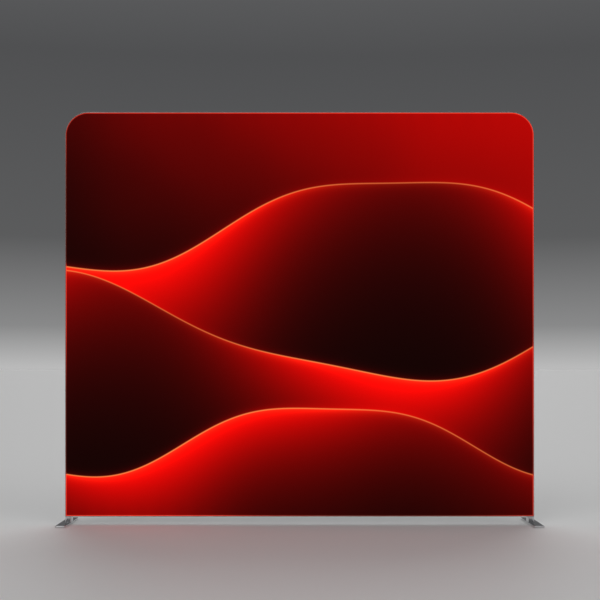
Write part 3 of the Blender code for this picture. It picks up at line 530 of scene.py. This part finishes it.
def folds(finish, reach, pitch):
    """Slight, uneven tension folds that run in square to each side and fade out."""
    x, _, z = finish.axes()
    wander = finish.noise(6, detail=2) * FOLD_WANDER
    beside = SHEET_WIDTH / 2 - abs(x)
    level = (z - SHEET_BOTTOM).at_most(SHEET_TOP - z)
    upright = (x * (2 * pi / pitch) + wander).math("SINE") * level.fade(reach)
    sideways = (z * (2 * pi / pitch) + wander).math("SINE") * beside.fade(reach)
    return (upright + sideways) * finish.noise(11, detail=2).step(*FOLD_PATCHES)


def crest_line(x, crest):
    """A crest's height and slope along the sheet."""
    height = x * 0 + crest["height"]
    slope = x * 0
    for size, waves, phase in crest["swells"]:
        height = height + x.sine(waves, phase) * size
        slope = slope + x.sine(waves, phase + 0.25) * (size * 2 * pi * waves)
    return height, slope


def print_tone(finish):
    """The print's brightness, and the light along the rims of its crests."""
    x, _, z = finish.axes()
    right, up = BACKDROP_RISE
    rise = x * right + z * up + finish.noise(0.9, detail=2) * BACKDROP_DRIFT
    tone = rise.step(*BACKDROP_ENDS) * BACKDROP_SPAN + BACKDROP_LOW
    rim = x * 0
    for crest in CRESTS:
        height, slope = crest_line(x, crest)
        gap = (z - height) / (slope * slope + 1).math("SQRT")
        inside = gap.step(CREST_BLUR, -CREST_BLUR)
        size, waves, phase = crest["ebb"]
        ebb = x.sine(waves, phase) * size + (1 - size)
        depth = (-gap).at_least(0)
        glow = depth.fade(crest["reach"]) * ebb * crest["glow"]
        ember = depth.fade(EMBER_REACH) * ebb * EMBER
        spill = gap.at_least(0).fade(SPILL_REACH) * ebb * SPILL
        tone = (tone + spill).blend(glow + ember + CREST_BASE, inside)
        spread = gap / RIM_WIDTH
        line = (-(spread * spread)).exp()
        heat = depth.fade(HEAT_REACH) * inside * ebb * HEAT
        strength = ebb * (1 - RIM_LEAST) + RIM_LEAST
        rim = rim * (1 - inside) + (line + heat) * strength
    return tone, rim


def printed_fabric():
    """Backlit fabric with a generic print of layered waves, dark red to black, and bright rims."""
    finish = Finish("printed_fabric", roughness=0.9, specular_ior_level=0.03, emission_strength=1.0)
    x, _, z = finish.axes()
    tone, rim = print_tone(finish)
    distance = edge_distance(finish)
    border = distance.step(EDGE_WIDTH, EDGE_WIDTH * 0.4)
    colour = finish.mix(tone ** PRINT_CONTRAST, PRINT_DARK, PRINT_BRIGHT)
    colour = finish.mix(rim.at_most(1), colour, RIM_COLOUR)
    colour = finish.mix(border, colour, finish.ramp(tone, *EDGE_RAMP))
    weave = knit(finish, FRONT_KNIT)
    near = (z - SHEET_BOTTOM).at_most(SHEET_TOP - z)
    spots = x.sine(1 / LENS_PITCH) * near.fade(SPOT_REACH) * SPOTS
    bank = near.fade(BANK_REACH) * BANK
    grain = finish.noise(650, detail=2) - 0.5
    light = grain * LIGHT_GRAIN + weave * LIGHT_KNIT + spots + bank + LIGHT_LEVEL
    lit = finish.mix(1.0, colour, finish.vector(light, light, light), "MULTIPLY")
    finish.set("Emission Color", lit)
    finish.set("Base Color", finish.mix(UNLIT_SHARE, lit, PRINT_UNLIT))
    seam = stitches(finish, distance, *FRONT_STITCHES)
    relief = weave * 0.35 + seam * 1.5 + folds(finish, *FRONT_FOLDS) * 1.2
    finish.bump(relief, distance=0.00025, strength=0.5)
    return finish.material


def liner_fabric():
    """Charcoal blockout knit with a faint mottle, a stitched hem and a soft sheen."""
    finish = Finish("liner_fabric", sheen_weight=0.35, sheen_roughness=0.45, specular_ior_level=0.2)
    distance = edge_distance(finish)
    seam = stitches(finish, distance, *REAR_STITCHES)
    hem = distance.step(REAR_HEM + HEM_BLUR, REAR_HEM - HEM_BLUR)
    loops = knit(finish, REAR_KNIT)
    mottle = finish.noise(9, detail=5, roughness=0.6) - 0.5
    grain = finish.noise(900, detail=2) - 0.5
    # The knit's loops also go into the colour, darker in the gaps between them: painted shade.
    tone = mottle * 0.5 + 0.5 + grain * 0.55 + loops * 0.22
    colour = finish.ramp(tone, (0.15, (0.016, 0.016, 0.018)), (0.85, (0.060, 0.060, 0.064)))
    colour = finish.mix(hem * 0.35, colour, (0.018, 0.018, 0.020))
    colour = finish.mix(seam * 0.8, colour, (0.085, 0.085, 0.090))
    finish.set("Base Color", colour)
    finish.set("Roughness", tone * 0.12 + 0.84)
    slack = finish.noise(2.2, detail=1)
    relief = loops * 0.55 + seam * 1.4 + slack * 6 + folds(finish, *REAR_FOLDS) * 4.0
    finish.bump(relief, distance=0.0003, strength=0.55)
    return finish.material


def webbing():
    """Dark ribbon with a ribbed weave."""
    finish = Finish("webbing", roughness=0.8, sheen_weight=0.3)
    _, _, z = finish.axes()
    ribs = z.sine(1 / TAB_RIB_PITCH)
    fleck = finish.noise(1500, detail=2)
    # The ribs also go into the colour, darker between them: painted shade.
    tone = fleck + ribs * 0.15
    colour = finish.ramp(tone, (0.3, (0.010, 0.010, 0.011)), (0.8, (0.030, 0.030, 0.032)))
    finish.set("Base Color", colour)
    finish.bump(ribs + fleck * 0.5, distance=0.00025, strength=0.7)
    return finish.material


def anodised_aluminium():
    """Satin silver anodising with fine extrusion lines and handling marks, and a painted reflection of the
    print's red glow on the front lip.
    """
    finish = Finish("anodised_aluminium", metallic=1.0)
    _, y, _ = finish.axes()
    lines = finish.noise(90, detail=6, stretch=(0.02, 14, 0.02), roughness=0.65)
    cloud = finish.noise(5, detail=4)
    marks = finish.noise(38, detail=6, stretch=(1, 3, 1), roughness=0.7).step(0.66, 0.80)
    tone = lines * 0.5 + cloud * 0.5
    colour = finish.ramp(tone, (0.25, (0.50, 0.50, 0.515)), (0.75, (0.66, 0.66, 0.675)))
    colour = finish.mix(marks * 0.25, colour, (0.42, 0.42, 0.43))
    # The front lip's colour takes in a painted reflection of the lit print's red glow.
    front = y.step(LIP_CHAMFER - HALF_DEPTH, LIP_CHAMFER / 4 - HALF_DEPTH)
    finish.set("Base Color", finish.mix(front * LIP_GLOW_SHARE, colour, LIP_PAINTED_GLOW))
    finish.set("Roughness", lines * 0.14 + cloud * 0.10 + marks * 0.12 + 0.23)
    finish.bump(lines, distance=0.00006, strength=0.5)
    return finish.material


def mill_aluminium():
    """Bare extruded aluminium, duller and more uneven than the anodised frame."""
    finish = Finish("mill_aluminium", metallic=1.0)
    lines = finish.noise(70, detail=5, stretch=(0.3, 6, 0.3), roughness=0.6)
    cloud = finish.noise(11, detail=5)
    colour = finish.ramp(cloud, (0.3, (0.42, 0.42, 0.43)), (0.7, (0.57, 0.57, 0.58)))
    finish.set("Base Color", colour)
    finish.set("Roughness", cloud * 0.25 + lines * 0.15 + 0.25)
    finish.bump(lines, distance=0.00008, strength=0.5)
    return finish.material


def polished_chrome():
    """Bright chrome plate with a trace of dust and fine wiping marks."""
    finish = Finish("polished_chrome", metallic=1.0)
    dust = finish.noise(60, detail=8, roughness=0.7)
    wipes = finish.noise(26, detail=4, stretch=(5, 0.6, 1))
    colour = finish.ramp(dust, (0.35, (0.72, 0.725, 0.74)), (0.75, (0.63, 0.63, 0.64)))
    finish.set("Base Color", colour)
    finish.set("Roughness", wipes * 0.08 + dust * 0.06 + 0.045)
    finish.bump(wipes, distance=0.00003, strength=0.35)
    return finish.material


def zinc_steel():
    """Bright zinc plate with its mottled, faintly blue cast."""
    finish = Finish("zinc_steel", metallic=1.0)
    spangle = finish.noise(240, detail=4)
    colour = finish.ramp(spangle, (0.35, (0.47, 0.48, 0.51)), (0.65, (0.62, 0.62, 0.61)))
    finish.set("Base Color", colour)
    finish.set("Roughness", spangle * 0.22 + 0.20)
    finish.bump(spangle, distance=0.00004, strength=0.5)
    return finish.material


def moulded(name, dark, light, roughness, scale):
    """A moulded plastic or rubber: a fine spark-eroded grain and slight unevenness."""
    finish = Finish(name)
    grain = finish.noise(scale, detail=3)
    cloud = finish.noise(scale / 30, detail=3)
    finish.set("Base Color", finish.ramp(grain * 0.4 + cloud * 0.6, (0.3, dark), (0.7, light)))
    finish.set("Roughness", grain * 0.16 + (roughness - 0.08))
    finish.bump(grain, distance=0.00005, strength=0.6)
    return finish.material


def clear_lens():
    """Clear moulded plastic, slightly hazed."""
    finish = Finish("clear_lens", ior=1.49, transmission_weight=0.9)
    haze = finish.noise(160, detail=3)
    colour = finish.ramp(haze, (0.3, (0.86, 0.88, 0.89)), (0.7, (0.95, 0.96, 0.97)))
    finish.set("Base Color", colour)
    finish.set("Roughness", haze * 0.12 + 0.02)
    return finish.material


def board_lacquer():
    """White solder lacquer with faint copper runs under it."""
    finish = Finish("board_lacquer")
    _, y, _ = finish.axes()
    runs = abs(abs(y) - RUN_INSET).step(RUN_WIDTH, RUN_WIDTH - RUN_BLUR)
    grain = finish.noise(420, detail=3)
    colour = finish.ramp(grain, (0.3, (0.70, 0.71, 0.70)), (0.7, (0.78, 0.79, 0.78)))
    finish.set("Base Color", finish.mix(runs * 0.25, colour, (0.62, 0.66, 0.60)))
    finish.set("Roughness", grain * 0.2 + 0.28)
    finish.bump(runs + grain * 0.2, distance=0.00005, strength=0.8)
    return finish.material


def chip_phosphor():
    """The yellow face of a light chip, glowing a little."""
    glow = (1.0, 0.86, 0.60)
    finish = Finish("chip_phosphor", roughness=0.5, emission_color=glow, emission_strength=0.6)
    grain = finish.noise(2500, detail=2)
    colour = finish.ramp(grain, (0.3, (0.70, 0.52, 0.08)), (0.7, (0.82, 0.66, 0.16)))
    finish.set("Base Color", colour)
    finish.bump(grain, distance=0.00004, strength=0.5)
    return finish.material


def make_materials():
    """A material for each slot of the part, and for the small pieces that the scene adds."""
    materials = {
        "anodised_frame": anodised_aluminium(),
        "mill_aluminium": mill_aluminium(),
        "zinc_lock": zinc_steel(),
        "zinc_bolt": zinc_steel(),
        "chrome_foot": polished_chrome(),
        "printed_fabric": printed_fabric(),
        "liner_fabric": liner_fabric(),
        "clear_lens": clear_lens(),
        "board": board_lacquer(),
        "chip": chip_phosphor(),
        "ribbon": webbing(),
    }
    for name, (dark, light, roughness, scale) in MOULDED.items():
        materials[name] = moulded(name, dark, light, roughness, scale)
    return materials


def dress_nodes(materials):
    """Gives each CAD node the procedural material of its slot."""
    for entry in frame["record"]["subparts"]:
        obj = frame["nodes"][entry["node"]]
        obj.data.materials.clear()
        obj.data.materials.append(materials[entry["material_slot"]])


def rail_matrix(side, along):
    """A local frame on the middle of a rail's inner face, Z into the wall and Y to the rear."""
    places = {
        "bottom": (along, 0, FRAME_BOTTOM + PROFILE_HEIGHT),
        "left": (PROFILE_HEIGHT - HALF_WIDTH, 0, along),
        "top": (along, 0, FRAME_TOP - PROFILE_HEIGHT),
        "right": (HALF_WIDTH - PROFILE_HEIGHT, 0, along),
    }
    return Matrix.Translation(places[side]) @ Matrix.Rotation(TURNS[side], 4, "Y")


def inlet_matrix():
    """A local frame on the right upright's outer face at the inlet: X up, Y to the front, Z outwards."""
    down = Matrix.Translation((0, 0, -PROFILE_HEIGHT))
    return rail_matrix("right", INLET_HEIGHT) @ down @ Matrix.Rotation(pi, 4, "X")


def foot_matrix(hand):
    """A local frame on the floor under a post, X outwards."""
    turn = Matrix.Rotation(0 if hand > 0 else pi, 4, "Z")
    return Matrix.Translation((hand * FOOT_X, 0, 0)) @ turn


def circle(radius, sides):
    return [(radius * cos(2 * pi * k / sides), radius * sin(2 * pi * k / sides)) for k in range(sides)]


def rectangle(width, length, x=0, y=0):
    """A rectangle's outline about a place."""
    return [(x + along_x * width / 2, y + along_y * length / 2) for along_x, along_y in CORNERS]


def rounded(width, length, radius, steps):
    """A rectangle's outline with round corners."""
    outline = []
    for turn, (along_x, along_y) in enumerate(CORNERS):
        centre_x = along_x * (width / 2 - radius)
        centre_y = along_y * (length / 2 - radius)
        for k in range(steps + 1):
            angle = pi / 2 * (turn + k / steps)
            outline.append((centre_x + radius * cos(angle), centre_y + radius * sin(angle)))
    return outline


def edge_rounds(bevel, thickness, steps):
    """A rounded edge's insets and heights, bottom then top, with a narrow flat at each end."""
    rounds = [(bevel * GUARD_BELOW, 0)]
    for k in range(steps + 1):
        angle = pi / 2 * k / steps
        rounds.append((bevel * (1 - sin(angle)), bevel * (1 - cos(angle))))
    rounds.append((0, bevel * GUARD_BESIDE))
    return rounds + [(inset, thickness - height) for inset, height in reversed(rounds)]


def join_rings(bm, rings):
    for low, high in zip(rings, rings[1:]):
        for i in range(len(low)):
            j = (i + 1) % len(low)
            bm.faces.new((low[i], low[j], high[j], high[i]))


def add_solid(bm, rings):
    """Faces round a row of rings, and one over each end."""
    join_rings(bm, rings)
    bm.faces.new(rings[0])
    bm.faces.new(rings[-1])


def add_loft(bm, sections, place=Matrix()):
    """A closed solid through outlines of equal counts, each at its height."""
    rings = []
    for outline, height in sections:
        rings.append([bm.verts.new(place @ Vector((x, y, height))) for x, y in outline])
    add_solid(bm, rings)


def add_turned(bm, levels, sides, place=Matrix()):
    """A closed solid, round about Z, through radii at their heights."""
    add_loft(bm, [(circle(radius, sides), height) for radius, height in levels], place)


def add_box(bm, size, centre, place=Matrix()):
    x, y, z = centre
    outline = rectangle(size[0], size[1], x, y)
    add_loft(bm, [(outline, z - size[2] / 2), (outline, z + size[2] / 2)], place)


def add_ribbon(bm, path, width, thickness, place):
    """A flat band across X that follows a path of places (Y, Z)."""
    rings = []
    for i, (y, z) in enumerate(path):
        ahead = Vector(path[min(i + 1, len(path) - 1)]) - Vector(path[max(i - 1, 0)])
        normal = Vector((0, ahead.y, -ahead.x)).normalized() * (thickness / 2)
        ring = []
        for end, turn in ((-1, -1), (1, -1), (1, 1), (-1, 1)):
            corner = Vector((end * width / 2, y, z)) + normal * turn
            ring.append(bm.verts.new(place @ corner))
        rings.append(ring)
    add_solid(bm, rings)


def mesh_of(bm, name):
    bmesh.ops.recalc_face_normals(bm, faces=bm.faces)
    mesh = bpy.data.meshes.new(name)
    bm.to_mesh(mesh)
    bm.free()
    return mesh


def cut(mesh, tool):
    """A mesh with a tool's shape cut out of it, baked."""
    holders = []
    for data in (mesh, tool):
        holder = bpy.data.objects.new("holder", data)
        bpy.context.scene.collection.objects.link(holder)
        holders.append(holder)
    modifier = holders[0].modifiers.new("cut", "BOOLEAN")
    modifier.operation = "DIFFERENCE"
    modifier.solver = "EXACT"
    modifier.object = holders[1]
    evaluated = holders[0].evaluated_get(bpy.context.evaluated_depsgraph_get())
    result = bpy.data.meshes.new_from_object(evaluated)
    for holder in holders:
        bpy.data.objects.remove(holder)
    return result


def add_piece(name, mesh, material, body, angle=35):
    """An object from a mesh, smooth where it is round, riding on a body."""
    mesh.shade_smooth()
    mesh.set_sharp_from_angle(angle=radians(angle))
    mesh.materials.clear()
    mesh.materials.append(material)
    piece = bpy.data.objects.new(name, mesh)
    bpy.context.scene.collection.objects.link(piece)
    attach(piece, body)
    return piece


def make_pull_tab(material):
    """A folded ribbon sewn to the rear liner's hem, to pull the sheet out by."""
    place = Matrix.Translation((TAB_X, REAR[1][1] + TAB_THICKNESS / 2, SHEET_BOTTOM))
    bm = bmesh.new()
    add_ribbon(bm, TAB_PATH, TAB_WIDTH, TAB_THICKNESS, place)
    return add_piece("liner_pull_tab", mesh_of(bm, "liner_pull_tab"), material, "wall", 50)


def sheet_outline(inset):
    """A sheet's border, square below and round above, moved in by inset."""
    radius = SHEET_RADIUS - inset
    left = SHEET_LEFT + SHEET_RADIUS
    right = SHEET_RIGHT - SHEET_RADIUS
    height = SHEET_TOP - SHEET_RADIUS
    points = [(SHEET_LEFT + inset, SHEET_BOTTOM + inset), (SHEET_RIGHT - inset, SHEET_BOTTOM + inset)]
    for centre, start in ((right, 0), (left, pi / 2)):
        for k in range(CORNER_STEPS + 1):
            angle = start + pi / 2 * k / CORNER_STEPS
            points.append((centre + radius * cos(angle), height + radius * sin(angle)))
    return points


def make_sheet(name, node, back, face, hem, material):
    """A taut sheet in place of its CAD solid, with its rolled edge and hem; back and face are depths."""
    bm = bmesh.new()
    rings = []
    for inset, share in (*ROLLED_EDGE, *((hem + beyond, share) for beyond, share in HEM_FALL)):
        depth = back + (face - back) * share
        rings.append([bm.verts.new((x, depth, z)) for x, z in sheet_outline(inset)])
    add_solid(bm, rings)
    piece = add_piece(name, mesh_of(bm, name), material, "wall")
    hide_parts(node)


def make_sheets(materials):
    """The printed front, and the rear liner with its pull tab."""
    tab = make_pull_tab(materials["ribbon"])
    make_sheet(
        "front_sheet",
        "front_graphic",
        back=FRONT[1][1],
        face=FRONT[0][1],
        hem=FRONT_HEM,
        material=materials["printed_fabric"],
    )
    make_sheet(
        "rear_sheet",
        "rear_liner",
        back=REAR[0][1],
        face=REAR[1][1],
        hem=REAR_HEM,
        material=materials["liner_fabric"],
    )


def bend_loops():
    """The frame's section as in the CAD, its outer outline and then its chamber: (inwards, to the rear)."""
    front = [
        (0, LIP_CHAMFER - HALF_DEPTH),
        (LIP_CHAMFER / 2, LIP_CHAMFER / 4 - HALF_DEPTH),
        (LIP_CHAMFER, -HALF_DEPTH),
        (LIP, -HALF_DEPTH),
        (LIP, -WEB_FACE),
        (GROOVE_INNER, -WEB_FACE),
        (GROOVE_INNER, RIB_STEP - HALF_DEPTH),
        (RIB_INNER, RIB_STEP - HALF_DEPTH),
        (RIB_INNER, -WEB_FACE),
        (PROFILE_HEIGHT, -WEB_FACE),
    ]
    rear = [(u, -v) for u, v in reversed(front)]
    side = WEB_FACE - WEB_THICKNESS
    deep = PROFILE_HEIGHT - PROFILE_WALL
    chamber = [(PROFILE_WALL, -side), (deep, -side), (deep, side), (PROFILE_WALL, side)]
    return front + rear, chamber


def make_bend(side, hand, material):
    """A bent top corner, in place of its coarser CAD solid."""
    half_seam = CLEARANCE / 2
    seam_x = HALF_WIDTH - CORNER_RADIUS - BEND_LEG + half_seam
    seam_z = FRAME_TOP - CORNER_RADIUS - BEND_LEG + half_seam
    stations = [(HALF_WIDTH, seam_z, 1, 0)]
    for k in range(BEND_STEPS + 1):
        angle = pi / 2 * k / BEND_STEPS
        x = HALF_WIDTH - CORNER_RADIUS + CORNER_RADIUS * cos(angle)
        z = FRAME_TOP - CORNER_RADIUS + CORNER_RADIUS * sin(angle)
        stations.append((x, z, cos(angle), sin(angle)))
    stations.append((seam_x, FRAME_TOP, 0, 1))
    bm = bmesh.new()
    ends = []
    for loop in bend_loops():
        rings = []
        for x, z, step_x, step_z in stations:
            ring = [bm.verts.new((hand * (x - u * step_x), v, z - u * step_z)) for u, v in loop]
            rings.append(ring)
        join_rings(bm, rings)
        ends.append((rings[0], rings[-1]))
    for outer, inner in zip(*ends):
        edges = []
        for ring in (outer, inner):
            edges += [bm.edges.get((ring[i], ring[i - 1])) for i in range(len(ring))]
        bmesh.ops.triangle_fill(bm, use_beauty=True, edges=edges)
    name = f"frame_bend_{side}"
    piece = add_piece(name, mesh_of(bm, name), material, "wall", 25)
    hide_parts(f"top_bend_{side}")


def make_plate(side, hand, material):
    """A foot's plate with finely rounded edges and a countersink, in place of its CAD solid."""
    shift = (PLATE_WIDTH - POST_WIDTH) / 2
    sections = []
    for inset, height in edge_rounds(PLATE_BEVEL, PLATE_THICKNESS, steps=5):
        width = PLATE_WIDTH - 2 * inset
        length = PLATE_LENGTH - 2 * inset
        outline = rounded(width, length, PLATE_CORNER - inset, steps=10)
        sections.append(([(x + shift, y) for x, y in outline], height))
    bm = bmesh.new()
    add_loft(bm, sections, foot_matrix(hand))
    levels = (
        (SINK_RADIUS, -SINK_RIM),
        (SINK_RADIUS, SINK_RIM),
        (BORE_RADIUS, SINK_RIM + SINK_RADIUS - BORE_RADIUS),
        (BORE_RADIUS, SINK_RIM + PLATE_THICKNESS),
    )
    sink = bmesh.new()
    add_turned(sink, levels, BORE_SIDES, foot_matrix(hand))
    mesh = cut(mesh_of(bm, "plate"), mesh_of(sink, "sink"))
    piece = add_piece(f"foot_bar_{side}", mesh, material, f"{side}_foot")
    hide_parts(f"foot_plate_{side}")


def make_post(side, hand, material):
    """The post over a plate with finely rounded edges and its bore, in place of its CAD solid."""
    low, high = (corner[2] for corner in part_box(f"foot_post_{side}"))
    sections = []
    for inset, height in edge_rounds(POST_BEVEL, high - low, steps=3):
        width = POST_WIDTH - 2 * inset
        depth = POST_DEPTH - 2 * inset
        sections.append((rounded(width, depth, POST_CORNER - inset, steps=6), low + height))
    bm = bmesh.new()
    add_loft(bm, sections, foot_matrix(hand))
    levels = ((BORE_RADIUS, low - SINK_RIM), (BORE_RADIUS, high + SINK_RIM))
    bore = bmesh.new()
    add_turned(bore, levels, BORE_SIDES, foot_matrix(hand))
    mesh = cut(mesh_of(bm, "post"), mesh_of(bore, "bore"))
    piece = add_piece(f"foot_block_{side}", mesh, material, "wall")
    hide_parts(f"foot_post_{side}")


def screw_mesh():
    """A pan-head screw's head with a cross recess."""
    bm = bmesh.new()
    levels = [(SCREW_RADIUS * wide, SCREW_HEIGHT * high) for wide, high in SCREW_ROUNDING]
    add_turned(bm, levels, SCREW_SIDES)
    mesh = mesh_of(bm, "head")
    height = RECESS_DEPTH + RECESS_WIDTH
    centre = (0, 0, SCREW_HEIGHT - RECESS_DEPTH + height / 2)
    for width, length in ((RECESS_LENGTH, RECESS_WIDTH), (RECESS_WIDTH, RECESS_LENGTH)):
        tool = bmesh.new()
        add_box(tool, (width, length, height), centre)
        mesh = cut(mesh, mesh_of(tool, "recess"))
    return mesh


def make_screws(materials):
    """The screws that hold the driver and the light bars."""
    head = screw_mesh()
    seats = [("right", height, DRIVER_BASE) for height in DRIVER_SCREWS]
    for side in ("top", "bottom"):
        for hand in (-1, 1):
            seats += [(side, hand * end, BAR_FLOOR) for end in BAR_ENDS]
    bm = bmesh.new()
    for k, (side, along, level) in enumerate(seats):
        turn = Matrix.Rotation(k * SCREW_TURN, 4, "Z")
        place = rail_matrix(side, along) @ Matrix.Translation((0, 0, level)) @ turn
        start = len(bm.verts)
        bm.from_mesh(head)
        bm.verts.ensure_lookup_table()
        bmesh.ops.transform(bm, matrix=place, verts=bm.verts[start:])
    add_piece("panel_screws", mesh_of(bm, "panel_screws"), materials["zinc_bolt"], "wall")


def make_clips(materials):
    """Saddle clips that hold the leads against the frame's web."""
    radius = LEAD_RADIUS + CLIP_THICKNESS / 2 + CLEARANCE / 2
    foot = WEB_FACE + CLIP_THICKNESS / 2
    knee = radius + CLIP_THICKNESS
    path = [(foot, LEAD_LEVEL - CLIP_REACH), (foot, LEAD_LEVEL - knee)]
    for k in range(CLIP_STEPS + 1):
        angle = pi * k / CLIP_STEPS
        path.append((LEAD_OUT + radius * sin(angle), LEAD_LEVEL - radius * cos(angle)))
    path += [(foot, LEAD_LEVEL + knee), (foot, LEAD_LEVEL + CLIP_REACH)]
    bm = bmesh.new()
    for side, along in CLIPS:
        add_ribbon(bm, path, CLIP_WIDTH, CLIP_THICKNESS, rail_matrix(side, along))
    add_piece("lead_clips", mesh_of(bm, "lead_clips"), materials["nylon_shoe"], "wall", 50)


def make_blades(materials):
    """Bright sleeves on the inlet's blades."""
    levels = ((0, BLADE_ROOT), (0, BLADE_TIP - BLADE_THICKNESS / 3), (BLADE_THICKNESS / 4, BLADE_TIP))
    bm = bmesh.new()
    for up, across in BLADES:
        sections = []
        for inset, height in levels:
            width = BLADE_WIDTH - 2 * inset
            thickness = BLADE_THICKNESS - 2 * inset
            sections.append((rectangle(width, thickness, up - SOCKET_DROP, across), height))
        add_loft(bm, sections, inlet_matrix())
    add_piece("inlet_blades", mesh_of(bm, "inlet_blades"), materials["zinc_bolt"], "wall")


def make_rocker_marks(materials):
    """The bar and the ring on the two halves of the rocker's dished face."""
    slant = atan2(ROCKER_DISH, ROCKER_LENGTH / 2)
    pivot = Matrix.Translation((ROCKER_LIFT, 0, -ROCKER_PIVOT_DEPTH)) @ Matrix.Rotation(ROCKER_TILT, 4, "X")
    faces = []
    for hand in (-1, 1):
        spot = Matrix.Translation((0, hand * ROCKER_LENGTH / 4, ROCKER_REACH - ROCKER_DISH / 2))
        faces.append(inlet_matrix() @ pivot @ spot @ Matrix.Rotation(hand * slant, 4, "X"))
    bm = bmesh.new()
    bar = (MARK_LENGTH, MARK_WIDTH, MARK_SINK + MARK_RISE)
    add_box(bm, bar, (0, 0, (MARK_RISE - MARK_SINK) / 2), faces[0])
    levels = (
        (MARK_RADIUS, -MARK_SINK),
        (MARK_RADIUS, MARK_RISE),
        (MARK_RADIUS - MARK_WIDTH, MARK_RISE),
        (MARK_RADIUS - MARK_WIDTH, -MARK_SINK),
    )
    rings = []
    for radius, height in levels:
        outline = circle(radius, MARK_SIDES)
        rings.append([bm.verts.new(faces[1] @ Vector((x, y, height))) for x, y in outline])
    join_rings(bm, [*rings, rings[0]])
    add_piece("rocker_marks", mesh_of(bm, "rocker_marks"), materials["mark_paint"], "rocker")


def make_board(name, place, materials):
    """A board with its chips and clear lenses, in place of a strip's CAD solid."""
    board = bmesh.new()
    chips = bmesh.new()
    lenses = bmesh.new()
    top = BOARD_LEVEL + BOARD_SIZE[2]
    levels = [(LENS_RADIUS, CLEARANCE / 2)]
    levels += [(LENS_RADIUS * wide, LENS_HEIGHT * high) for wide, high in LENS_SHARES]
    add_box(board, BOARD_SIZE, (0, 0, top - BOARD_SIZE[2] / 2), place)
    for k in range(LENS_COUNT):
        x = (k - (LENS_COUNT - 1) / 2) * LENS_PITCH
        add_box(chips, CHIP_SIZE, (x, 0, top + CHIP_SIZE[2] / 2), place)
        add_turned(lenses, levels, LENS_SIDES, place @ Matrix.Translation((x, 0, top)))
    piece = add_piece(f"board_{name}", mesh_of(board, "board"), materials["board"], "wall")
    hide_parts(f"led_strip_{name}")
    add_piece(f"chips_{name}", mesh_of(chips, "chips"), materials["chip"], "wall")
    add_piece(f"lenses_{name}", mesh_of(lenses, "lenses"), materials["clear_lens"], "wall")


def make_stage():
    """A plain pale floor."""
    mesh = bpy.data.meshes.new("floor")
    bm = bmesh.new()
    bmesh.ops.create_grid(bm, x_segments=1, y_segments=1, size=FLOOR_HALF)
    bm.to_mesh(mesh)
    bm.free()
    floor = bpy.data.objects.new("floor", mesh)
    floor.location.z = -FLOOR_DROP
    bpy.context.scene.collection.objects.link(floor)
    finish = Finish("floor", roughness=0.55, specular_ior_level=0.25, base_color=FLOOR_COLOUR)
    mesh.materials.append(finish.material)


def make_lights():
    """Soft light from the front's two sides and from behind, and a surround that meets the floor."""
    world = bpy.data.worlds.new("surround")
    world.use_nodes = True
    tree = world.node_tree
    direction = tree.nodes.new("ShaderNodeTexCoord").outputs["Generated"]
    split = tree.nodes.new("ShaderNodeSeparateXYZ")
    plug(tree, direction, split.inputs[0])
    colour = add_ramp(tree, split.outputs["Z"], SURROUND)
    plug(tree, colour, tree.nodes["Background"].inputs["Color"])
    bpy.context.scene.world = world
    for name, aim, spread, power in SUNS:
        light = bpy.data.lights.new(name, "SUN")
        light.energy = power
        light.angle = radians(spread)
        obj = bpy.data.objects.new(name, light)
        obj.rotation_euler = Vector(aim).to_track_quat("-Z", "Y").to_euler()
        bpy.context.scene.collection.objects.link(obj)


def make_camera():
    """Level, square on to the wall, its height and distance worked out from the photograph."""
    data = bpy.data.cameras.new("camera")
    data.sensor_width = SENSOR_WIDTH
    data.lens = CAMERA_DISTANCE * PIXELS_PER_METRE * SENSOR_WIDTH / PHOTO_SIZE
    data.shift_x = (PHOTO_SIZE / 2 - CENTRE_COLUMN) / PHOTO_SIZE
    data.shift_y = (HORIZON_ROW - PHOTO_SIZE / 2) / PHOTO_SIZE
    camera = bpy.data.objects.new("camera", data)
    camera.location = (0, FRONT[0][1] - CAMERA_DISTANCE, CAMERA_HEIGHT)
    camera.rotation_euler = (pi / 2, 0, 0)
    bpy.context.scene.collection.objects.link(camera)
    bpy.context.scene.camera = camera


def main():
    bpy.context.scene.view_settings.view_transform = "Standard"
    materials = make_materials()
    dress_nodes(materials)
    make_sheets(materials)
    for side, hand in (("left", -1), ("right", 1)):
        make_bend(side, hand, materials["anodised_frame"])
        make_plate(side, hand, materials["chrome_foot"])
        make_post(side, hand, materials["chrome_foot"])
    make_screws(materials)
    make_clips(materials)
    make_blades(materials)
    make_rocker_marks(materials)
    for side in ("top", "bottom"):
        for end, hand in (("left", -1), ("right", 1)):
            make_board(f"{side}_{end}", rail_matrix(side, hand * BAR_CENTRE), materials)
    make_stage()
    make_lights()
    make_camera()


main()
